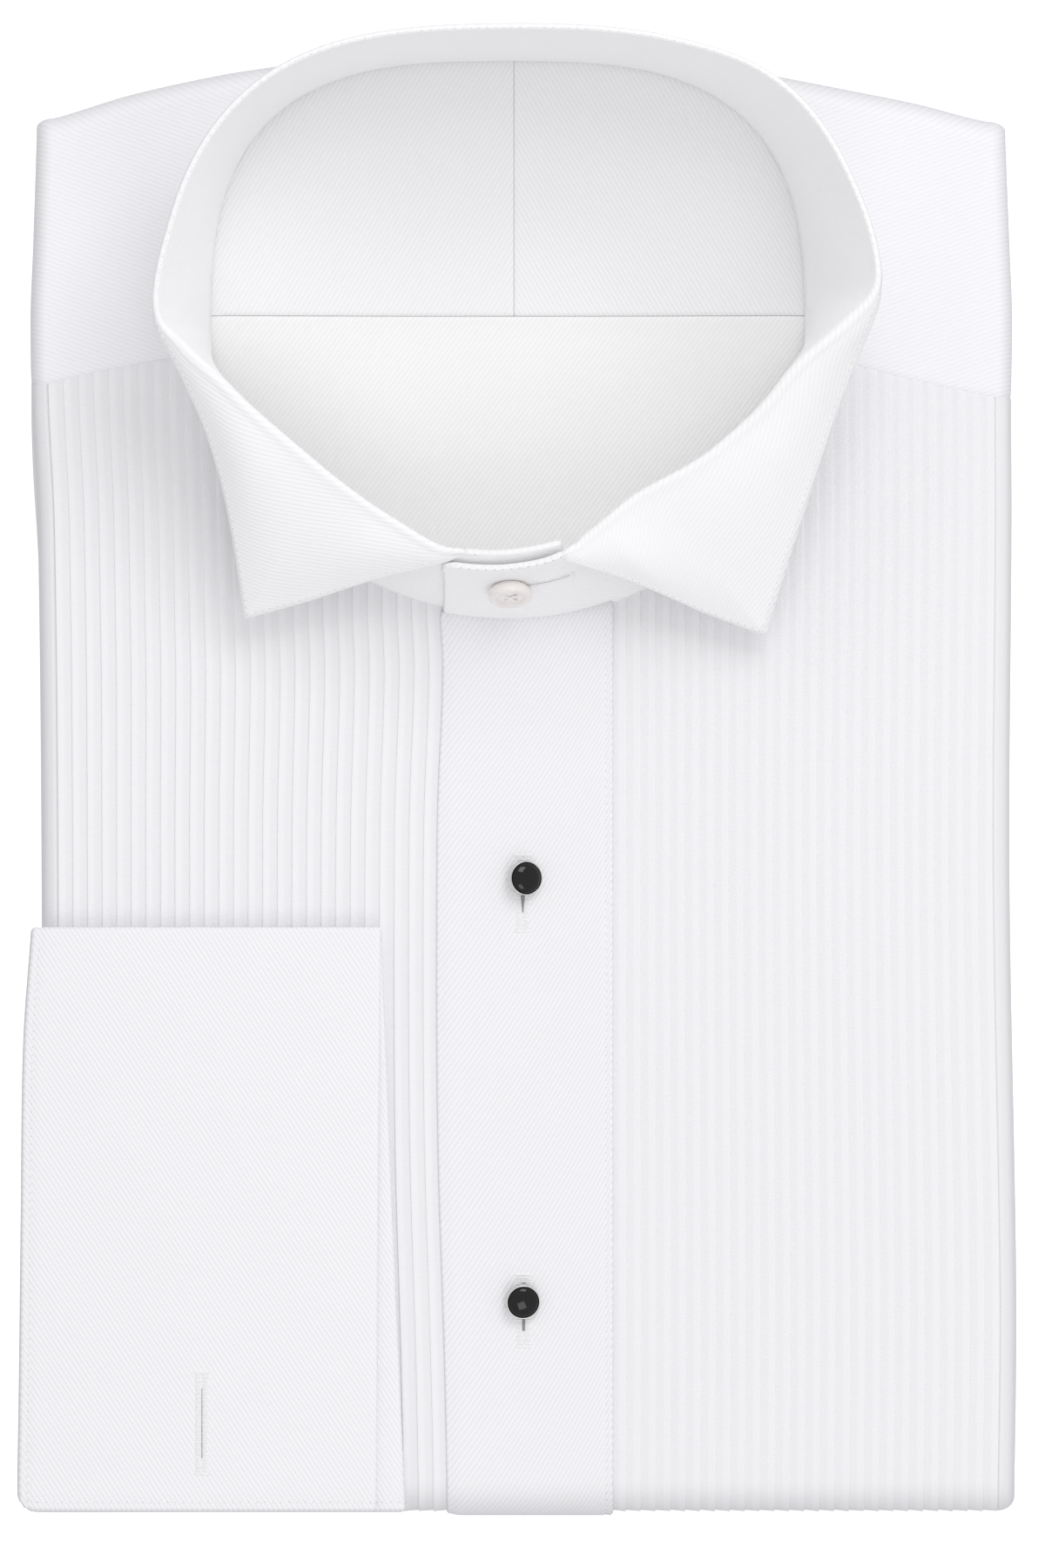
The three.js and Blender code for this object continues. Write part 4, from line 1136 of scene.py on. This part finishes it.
def collar_grid():
    """The collar's middle surface: rows from the foot over the fold to the wing's edge."""
    angles = collar_angles()
    skew = -3.2 * (1 - np.clip((angles - LAP_END) / 12, 0, 1))
    turn = np.radians(angles)
    turn_top = np.radians(angles + skew)
    scale = np.where(angles > 180, 1 - (1 - UNDER_SCALE) * ease(angles, 228, 244), 1.0)
    foot = neck_radius(turn) * scale
    foot_x = NECK_X + foot * np.cos(turn)
    foot_y = NECK_Y + foot * np.sin(turn)
    foot_z = pack_height(foot_x, foot_y) - STAND_FOOT
    head = neck_radius(turn_top) + follow(COLLAR_TOP, angles)
    top_x = NECK_X + head * np.cos(turn_top)
    top_y = NECK_Y + head * np.sin(turn_top)
    top = np.stack([top_x, top_y, follow(COLLAR_TOP, angles, 2)], 1)
    base = np.stack([foot_x, foot_y, foot_z], 1)
    # The lapped end's upper corner is rounded
    corner = np.clip((angles - LAP_END) / 3.2, 0, 1)
    round_off = 1 - (1 - np.sqrt(1 - (1 - corner) ** 2)) * 0.13
    top = mix(base, top, round_off[:, None])
    edge = wing_edge(angles, top)
    width = np.linalg.norm(edge - top, axis=1, keepdims=True)
    up = top - base
    up /= np.linalg.norm(up, axis=1, keepdims=True)
    down = (edge - top) / np.maximum(width, 1e-6)
    legs = np.minimum(3.2, 0.45 * width)
    before = top - up * legs
    after = top + down * legs
    inward = np.stack([-np.cos(turn), -np.sin(turn), np.zeros(len(turn))], 1)
    rows = []
    for s in np.linspace(0, 1, 14):
        lapped = 0.8 * math.sin(math.pi * s**2.5) * ease(angles, 240, 252)
        rows.append(mix(base, before, s) + inward * (0.9 * math.sin(math.pi * s) - lapped)[:, None])
    for s in np.linspace(0, 1, 9)[1:]:
        rows.append((1 - s) ** 2 * before + 2 * s * (1 - s) * top + s * s * after)
    bow = np.clip(width / 25, 0, 1) ** 1.5 * (0, 0, 1)
    for s in np.linspace(0, 1, 18)[1:]:
        rows.append(mix(after, edge, s) + 2.6 * math.sin(math.pi * s) * bow)
    return angles, np.array(rows)


class SHIRT_OT_collar(bpy.types.Operator):
    """Make the stand, its lapped band and the folded wings as one cloth, with edge stitching"""

    bl_idname = "shirt.collar"
    bl_label = "Wing collar"

    def execute(self, context):
        sizes = context.scene.shirt_sizes
        material = cotton("Collar twill", "Twill ribs", -25.0, 0.00005, 0.04, sizes.collar_colour)
        angles, middle = collar_grid()
        normal = normals_of(middle)
        turn = np.radians(angles)
        if np.sum(normal[5] * np.stack([-np.cos(turn), -np.sin(turn), 0 * turn], 1)) < 0:
            normal = -normal
        half = np.linspace(STAND_WALL / 2, 0.6, len(middle))[:, None, None]
        facing = middle + normal * half
        hidden = middle - normal * half
        uv = walk_uv(middle)
        uv[..., 0] = length_along(middle[0])[None]
        made = make_sheet("collar_cloth", facing, hidden, uv, material)
        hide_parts("collar")
        line, facing_line = inset_line(facing, sizes.stitch_inset)
        clear = np.all(np.abs(angles[:, None] - np.array(WING_STARTS)) > 2.4, axis=1)
        facing_line *= np.sign(np.sum(facing_line * normal[-1]))
        runs = unbroken(line, facing_line, clear & (angles > -99))
        outer_line, outer_facing = inset_line(hidden, sizes.stitch_inset + 0.8)
        direction = -np.sign(np.sum(outer_facing * normal[-1]))
        runs += unbroken(outer_line, outer_facing * direction, clear & (angles > -101) & (angles < 262))
        make_stitches("collar_edge_stitches", runs)
        return {"FINISHED"}


class SHIRT_OT_cuff(bpy.types.Operator):
    """Make both leaves of the turned-back cuff, with edge stitching"""

    bl_idname = "shirt.cuff"
    bl_label = "French cuff"

    def execute(self, context):
        sizes = context.scene.shirt_sizes
        material = cotton("Cuff twill", "Twill ribs", angle=-57.0, relief=0.00008, painted_shade_and_tone=0.06)
        radius = CUFF_WALL / 2
        turns = np.radians(np.linspace(0, 84, 8))[1:]
        leaves = {
            "cuff_lower_leaf": (lambda y: CUFF_INNER_LEFT + 0 * y, 3, CUFF_LIFT),
            "cuff_upper_leaf": (lambda y: cuff_edge(1, y), 2, CUFF_LIFT + CUFF_WALL + SEAM),
        }
        flat_x = np.concatenate([[0, 0.004, 0.01, 0.018, 0.026], np.linspace(0.04, 1, 44)])
        flat_y = np.concatenate([np.linspace(0, 0.97, 56), [0.978, 0.986, 0.992, 0.997, 1]])
        share_x = np.concatenate([flat_x, np.ones(len(turns))])
        turn_x = np.concatenate([0 * flat_x, turns])[None]
        share_y = np.concatenate([np.zeros(len(turns)), flat_y])
        turn_y = np.concatenate([turns[::-1], 0 * flat_y])[:, None]
        for name, (left, column, lift) in leaves.items():
            y = mix(CUFF_TOP - radius, CUFF_BOTTOM, share_y)[:, None] + radius * np.sin(turn_y)
            y = np.repeat(y, len(share_x), axis=1)
            x_left = left(y)
            x = mix(x_left, cuff_edge(column, y) - radius, share_x[None]) + radius * np.sin(turn_x)
            from_left = x - x_left
            from_bottom = y - CUFF_BOTTOM
            # Rounded corners on the sewn side
            corner = 0.9 * np.exp(-(from_left + from_bottom) / 1.6)
            x = x + corner
            y = y + corner
            half = CUFF_WALL / 2 * np.cos(turn_x) * np.cos(turn_y)
            groove = dent(from_left - sizes.stitch_inset, 0.5) + dent(from_bottom - sizes.stitch_inset, 0.5)
            pinch = 0.3 * dent(from_left, 1.2) + 0.3 * dent(from_bottom, 1.2)
            level = pack_height(x, y) + lift + CUFF_WALL / 2
            upper = level + half - 0.2 * groove - pinch + (cuff_swell(x, y) if "upper" in name else 0)
            lower = level - half + pinch * 0.6
            outer = np.stack([x, y, upper], axis=-1)
            inner = np.stack([x, y, lower], axis=-1)
            made = make_sheet(name + "_cloth", outer, inner, flat_uv(outer), material)
            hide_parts(name)
            bottom_line, bottom_facing = inset_line(outer, sizes.stitch_inset)
            left_line, left_facing = inset_line(outer.transpose(1, 0, 2)[::-1], sizes.stitch_inset)
            up = lambda f: f * np.sign(f[len(f) // 2, 2])
            runs = [(bottom_line[4:], up(bottom_facing)[4:])]
            if "upper" in name:
                runs.append((left_line[8:-3], up(left_facing)[8:-3]))
            make_stitches(name + "_stitches", runs)
        return {"FINISHED"}


class SHIRT_OT_sleeve(bpy.types.Operator):
    """Make the sleeve where it turns down round the pack's side"""

    bl_idname = "shirt.sleeve"
    bl_label = "Sleeve"

    def execute(self, context):
        material = cotton("Sleeve cotton", "Plain weave")
        y = np.linspace(-44, -166, 90)
        turns = np.radians(np.linspace(6, 90, 26))

        def grid(sink):
            rows = []
            for value in y:
                tuck = 0.28 * math.sin(value / 7.5) + 0.15 * math.sin(value / 3.1)
                depth = sink - max(tuck, 0) * 0.8
                first = pack_point(np.array([CUFF_INNER_LEFT - SEAM]), value, sink=depth)
                edge = float(side_edge(-1, value)) + SIDE_RADIUS
                rest = pack_point(edge, value, side=-1, roll=turns, depth=0.9, sink=depth)
                rows.append(np.concatenate([first, rest]))
            return np.array(rows)

        outer = grid(-1.1 - 1.2)
        made = make_sheet("sleeve_right_cloth", outer, grid(-1.1), walk_uv(outer), material)
        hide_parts("sleeve_right")
        return {"FINISHED"}


def turn_up(name, rings, material, place, axis, sides=64):
    """A turned piece: a disc drawn up ring by ring to each radius and height, then set along an axis."""
    bpy.ops.object.select_all(action="DESELECT")
    bpy.ops.mesh.primitive_circle_add(vertices=sides, radius=rings[0][0] / 1000, fill_type="NGON")
    made = bpy.context.object
    made.name = name
    bpy.ops.object.mode_set(mode="EDIT")
    bpy.ops.mesh.select_all(action="SELECT")
    for (radius, height), (next_radius, next_height) in zip(rings, rings[1:]):
        rise = (next_height - height) / 1000
        bpy.ops.mesh.extrude_region_move(TRANSFORM_OT_translate={"value": (0, 0, rise)})
        grow = next_radius / radius
        bpy.ops.transform.resize(value=(grow, grow, 1), center_override=(0, 0, 0))
    bpy.ops.mesh.select_all(action="SELECT")
    bpy.ops.mesh.normals_make_consistent(inside=False)
    bpy.ops.object.mode_set(mode="OBJECT")
    axis = Vector(axis).normalized()
    seat = Vector(place) + axis * rings[0][1] + Vector((SHIFT_X, SHIFT_Y, 0))
    spin = Vector((0, 0, 1)).rotation_difference(axis).to_matrix().to_4x4()
    made.data.transform(Matrix.Translation(seat / 1000) @ spin)
    bpy.ops.object.shade_smooth_by_angle(angle=math.radians(40))
    made.data.materials.append(material)
    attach(made, "root")
    return made


def arc_profile(points, steps=5):
    """A profile with its corners rounded by short curves."""
    made = [points[0]]
    for before, corner, after in zip(points[:-2], points[1:-1], points[2:]):
        before, corner, after = map(np.array, (before, corner, after))
        reach = min(0.28, 0.4 * np.linalg.norm(corner - before), 0.4 * np.linalg.norm(after - corner))
        start = corner + (before - corner) / np.linalg.norm(before - corner) * reach
        end = corner + (after - corner) / np.linalg.norm(after - corner) * reach
        for s in np.linspace(0, 1, steps):
            made.append(tuple((1 - s) ** 2 * start + 2 * s * (1 - s) * corner + s * s * end))
    made.append(points[-1])
    return made


class SHIRT_OT_studs(bpy.types.Operator):
    """Make both studs: a silver rim round a black stone"""

    bl_idname = "shirt.studs"
    bl_label = "Studs"

    def execute(self, context):
        silver = smooth_material("Polished silver", (0.64, 0.63, 0.62), 0.2, metallic=1.0, scratch=0.00002)
        stone = smooth_material("Black stone", (0.002, 0.002, 0.0025), 0.05, scratch=0.000002)
        stone.node_tree.nodes["Principled BSDF"].inputs["Specular IOR Level"].default_value = 0.4
        r = context.scene.shirt_sizes.stud_radius
        rim_height = 2.5
        pressed_in = 0.7
        for label, (x, y, tilt, heading) in STUDS.items():
            lean = math.sin(math.radians(tilt))
            upright = math.cos(math.radians(tilt))
            axis = (lean * math.cos(math.radians(heading)), lean * math.sin(math.radians(heading)), upright)
            post = max(r * lean / upright, 0.2)
            x -= rim_height * axis[0]
            y -= rim_height * axis[1]
            z = float(pack_height(x, y)) + PLACKET_LIFT + r * lean - pressed_in - post * upright
            top = post + rim_height
            rim = arc_profile([
                (0.02, 0), (1.4, 0), (1.4, post), (r * 0.9, post), (r, post + 0.3), (r, top - 0.4),
                (r * 0.97, top), (r * 0.92, top), (r * 0.9, top - 0.9), (0.02, top - 0.9),
            ])
            place = (x - post * axis[0], y - post * axis[1], z)
            piece = turn_up(f"stud_{label}_rim_silver", rim, silver, place, axis)
            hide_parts(f"stud_{label}_rim")
            cap_radius = r * 0.885
            dome = [(0.02, post + 1.62), (cap_radius * 0.98, post + 1.62), (cap_radius, post + 2.2)]
            for turn in np.radians(np.linspace(4, 90, 16)):
                dome.append((max(cap_radius * math.cos(turn), 0.02), post + 2.2 + 1.4 * math.sin(turn)))
            piece = turn_up(f"stud_{label}_stone_black", dome, stone, place, axis)
            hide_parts(f"stud_{label}_stone")
        return {"FINISHED"}


class SHIRT_OT_button(bpy.types.Operator):
    """Make the collar button with its four holes and thread"""

    bl_idname = "shirt.button"
    bl_label = "Collar button"

    def execute(self, context):
        pearl = smooth_material("Pearl button", (0.9, 0.855, 0.83), 0.25, coat=0.5, scale=350.0)
        low, high = (np.array(corner) * 1000 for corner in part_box("collar_button"))
        angles, middle = collar_grid()
        column = int(np.argmin(np.abs(angles + 89.5)))
        normal = normals_of(middle)[7, column]
        if normal[1] > 0:
            normal = -normal
        radius = 5.2
        height = 2.2
        centre = (low + high) / 2 - (SHIFT_X, SHIFT_Y, 0)
        axis = normal / np.linalg.norm(normal)
        place = centre - axis * (height / 2 + 0.4)
        profile = arc_profile([
            (0.02, -0.9), (radius * 0.8, -0.9), (radius, 0.4), (radius, 1.6), (radius * 0.88, height),
            (3.5, height), (3.1, height - 0.6), (0.02, height - 0.6),
        ])
        made = turn_up("collar_button_pearl", profile, pearl, place, tuple(axis))
        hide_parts("collar_button")
        side_axis = np.cross(axis, (1.0, 0, 0))
        side_axis /= np.linalg.norm(side_axis)
        floor = place + axis * (height - 0.62)
        spots = ((1, 1), (1, -1), (-1, 1), (-1, -1))
        holes = [floor + np.array((1.0, 0, 0)) * a * 1.2 + side_axis * b * 1.2 for a, b in spots]
        dark = smooth_material("Button hole shade", (0.7, 0.65, 0.62), 0.6)
        rings = [(0.02, -0.05), (0.55, -0.05), (0.55, 0.06), (0.02, 0.06)]
        for k, hole in enumerate(holes):
            disc = turn_up(f"collar_button_hole_{k}", rings, dark, hole, tuple(axis), sides=20)
        places = [(holes[0] + holes[3]) / 2, (holes[1] + holes[2]) / 2]
        directions = [holes[0] - holes[3], holes[1] - holes[2]]
        above = np.array(places) + axis * 0.22
        make_threads("collar_button_thread", above, np.array(directions), np.array([axis, axis]), 3.6, 0.3)
        return {"FINISHED"}


class SHIRT_OT_buttonholes(bpy.types.Operator):
    """Work the buttonholes under the studs, in the cuff and in the collar band"""

    bl_idname = "shirt.buttonholes"
    bl_label = "Buttonholes"

    def execute(self, context):
        pressed = lambda x, y: float(pack_height(x, y) + PLACKET_LIFT + placket_press(x, y))
        upper = upright_place((1.3, -28.0), pressed)
        lower = upright_place((1.5, -126.2), pressed)
        make_buttonhole("placket_buttonhole_upper", upper, 17.6, 3.2, (-4.6, 2.0, 0.05, 0.75))
        make_buttonhole("placket_buttonhole_lower", lower, 16.6, 3.2, (-4.7, 6.6, 0.3, 0.42))
        lift = CUFF_LIFT + 2 * CUFF_WALL + SEAM
        cuff = upright_place((-74.2, -152.6), lambda x, y: float(pack_height(x, y) + lift + cuff_swell(x, y)))
        make_buttonhole("cuff_buttonhole", cuff, 23.6, 3.0, (-8.2, 8.2, 0.05, 0.03))
        angles, middle = collar_grid()
        normal = normals_of(middle)
        row = 8
        column_at = lambda angle: int(np.argmin(np.abs(angles - angle)))
        first, last = (middle[row, column_at(angle)] for angle in (-87.0, -74.5))
        length = float(np.linalg.norm(last - first))

        def on_band(a, b):
            angle = -80.75 + a / length * 12.5
            up = read_points(angle, angles, normal[row])
            up = up if up[1] < 0 else -up
            rise = middle[row + 1, column_at(angle)] - middle[row, column_at(angle)]
            across = rise / np.linalg.norm(rise)
            point = read_points(angle, angles, middle[row]) + up * (STAND_WALL / 2 - 0.05)
            return point + across * b, np.array((1.0, 0.0, 0.0)), across, up

        slit = (1 - length / 2, length / 2 - 1, 0.04, 0.04)
        make_buttonhole("band_buttonhole", on_band, length, 2.4, slit, "Needle hole painted shade")
        return {"FINISHED"}


class SHIRT_OT_stage(bpy.types.Operator):
    """Make the pale floor, the soft studio light and the camera"""

    bl_idname = "shirt.stage"
    bl_label = "Studio"

    def execute(self, context):
        scene = context.scene
        bpy.ops.mesh.primitive_plane_add(size=6.0, location=(0, 0, -0.0004))
        floor = context.object
        floor.name = "studio_floor"
        floor.data.materials.append(self.floor_material())
        scene.world = self.soft_box_world()
        self.area("Key softbox", (0.3, 0.75, 0.95), 0.6, 3.7)
        self.area("Front softbox", (0.25, -0.75, 1.05), 0.5, 1.6)
        self.camera(scene)
        scene.view_settings.view_transform = "Standard"
        scene.view_settings.look = "None"
        return {"FINISHED"}

    def soft_box_world(self):
        """Even light from all round, a touch stronger from overhead."""
        world = bpy.data.worlds.new("Studio air")
        world.use_nodes = True
        tree = world.node_tree
        places = tree.nodes.new("ShaderNodeTexCoord")
        split = add_node(tree, "SeparateXYZ", links={"Vector": places.outputs["Generated"]})
        fall = add_node(tree, "MapRange", {"To Min": 0.77, "To Max": 0.78}, {"Value": split.outputs["Z"]})
        background = tree.nodes["Background"]
        background.inputs["Color"].default_value = (0.99, 0.99, 1.0, 1)
        tree.links.new(fall.outputs["Result"], background.inputs["Strength"])
        return world

    def floor_material(self):
        """A pale floor that looks bright but throws little light up under the cloth's edges."""
        material, tree, shader = new_material("Pale floor", {
            "Base Color": (0.45, 0.45, 0.46, 1), "Roughness": 1.0, "Specular IOR Level": 0.0,
            "Emission Color": (1, 1, 1, 1),
        })
        seen = tree.nodes.new("ShaderNodeLightPath")
        glow = maths(tree, "MULTIPLY", seen.outputs["Is Camera Ray"], 0.85)
        tree.links.new(glow, shader.inputs["Emission Strength"])
        return material

    def area(self, name, place, size, power):
        light = bpy.data.lights.new(name, "AREA")
        light.size = size
        light.energy = power
        made = bpy.data.objects.new(name, light)
        made.location = place
        made.rotation_euler = Vector((-place[0], -place[1], -place[2])).to_track_quat("-Z", "Y").to_euler()
        bpy.context.scene.collection.objects.link(made)

    def camera(self, scene):
        millimetres_per_pixel = 0.205
        frame_width_px = 1200
        frame_height_px = 1800
        centre_px = (594, 889)
        level = PACK_HEIGHT / 1000
        distance = 9.0
        data = bpy.data.cameras.new("Overhead camera")
        data.sensor_width = 36
        tall = frame_height_px * millimetres_per_pixel / 1000
        data.lens = data.sensor_width * distance / tall
        data.clip_end = 50
        camera = bpy.data.objects.new("Overhead camera", data)
        aim_x = (frame_width_px / 2 - centre_px[0]) * millimetres_per_pixel + SHIFT_X
        aim_y = (centre_px[1] - frame_height_px / 2) * millimetres_per_pixel + SHIFT_Y
        camera.location = (aim_x / 1000, aim_y / 1000, level + distance)
        scene.collection.objects.link(camera)
        scene.camera = camera


class SHIRT_PT_panel(bpy.types.Panel):
    """Sizes and steps of the folded shirt"""

    bl_label = "Folded shirt"
    bl_idname = "SHIRT_PT_panel"
    bl_space_type = "VIEW_3D"
    bl_region_type = "UI"
    bl_category = "Shirt"

    def draw(self, context):
        sizes = context.scene.shirt_sizes
        for key in ShirtSizes.__annotations__:
            self.layout.prop(sizes, key)
        for step in STEPS:
            self.layout.operator(step.bl_idname)


STEPS = (
    SHIRT_OT_layers, SHIRT_OT_fronts, SHIRT_OT_placket, SHIRT_OT_yokes, SHIRT_OT_inside, SHIRT_OT_collar,
    SHIRT_OT_cuff, SHIRT_OT_sleeve, SHIRT_OT_studs, SHIRT_OT_button, SHIRT_OT_buttonholes, SHIRT_OT_stage,
)


def register():
    for kind in (ShirtSizes, *STEPS, SHIRT_PT_panel):
        bpy.utils.register_class(kind)
    bpy.types.Scene.shirt_sizes = PointerProperty(type=ShirtSizes)


def unregister():
    del bpy.types.Scene.shirt_sizes
    for kind in (SHIRT_PT_panel, *reversed(STEPS), ShirtSizes):
        bpy.utils.unregister_class(kind)


def main():
    register()
    for step in STEPS:
        area, name = step.bl_idname.split(".")
        getattr(getattr(bpy.ops, area), name)()


if __name__ == "__main__":
    main()
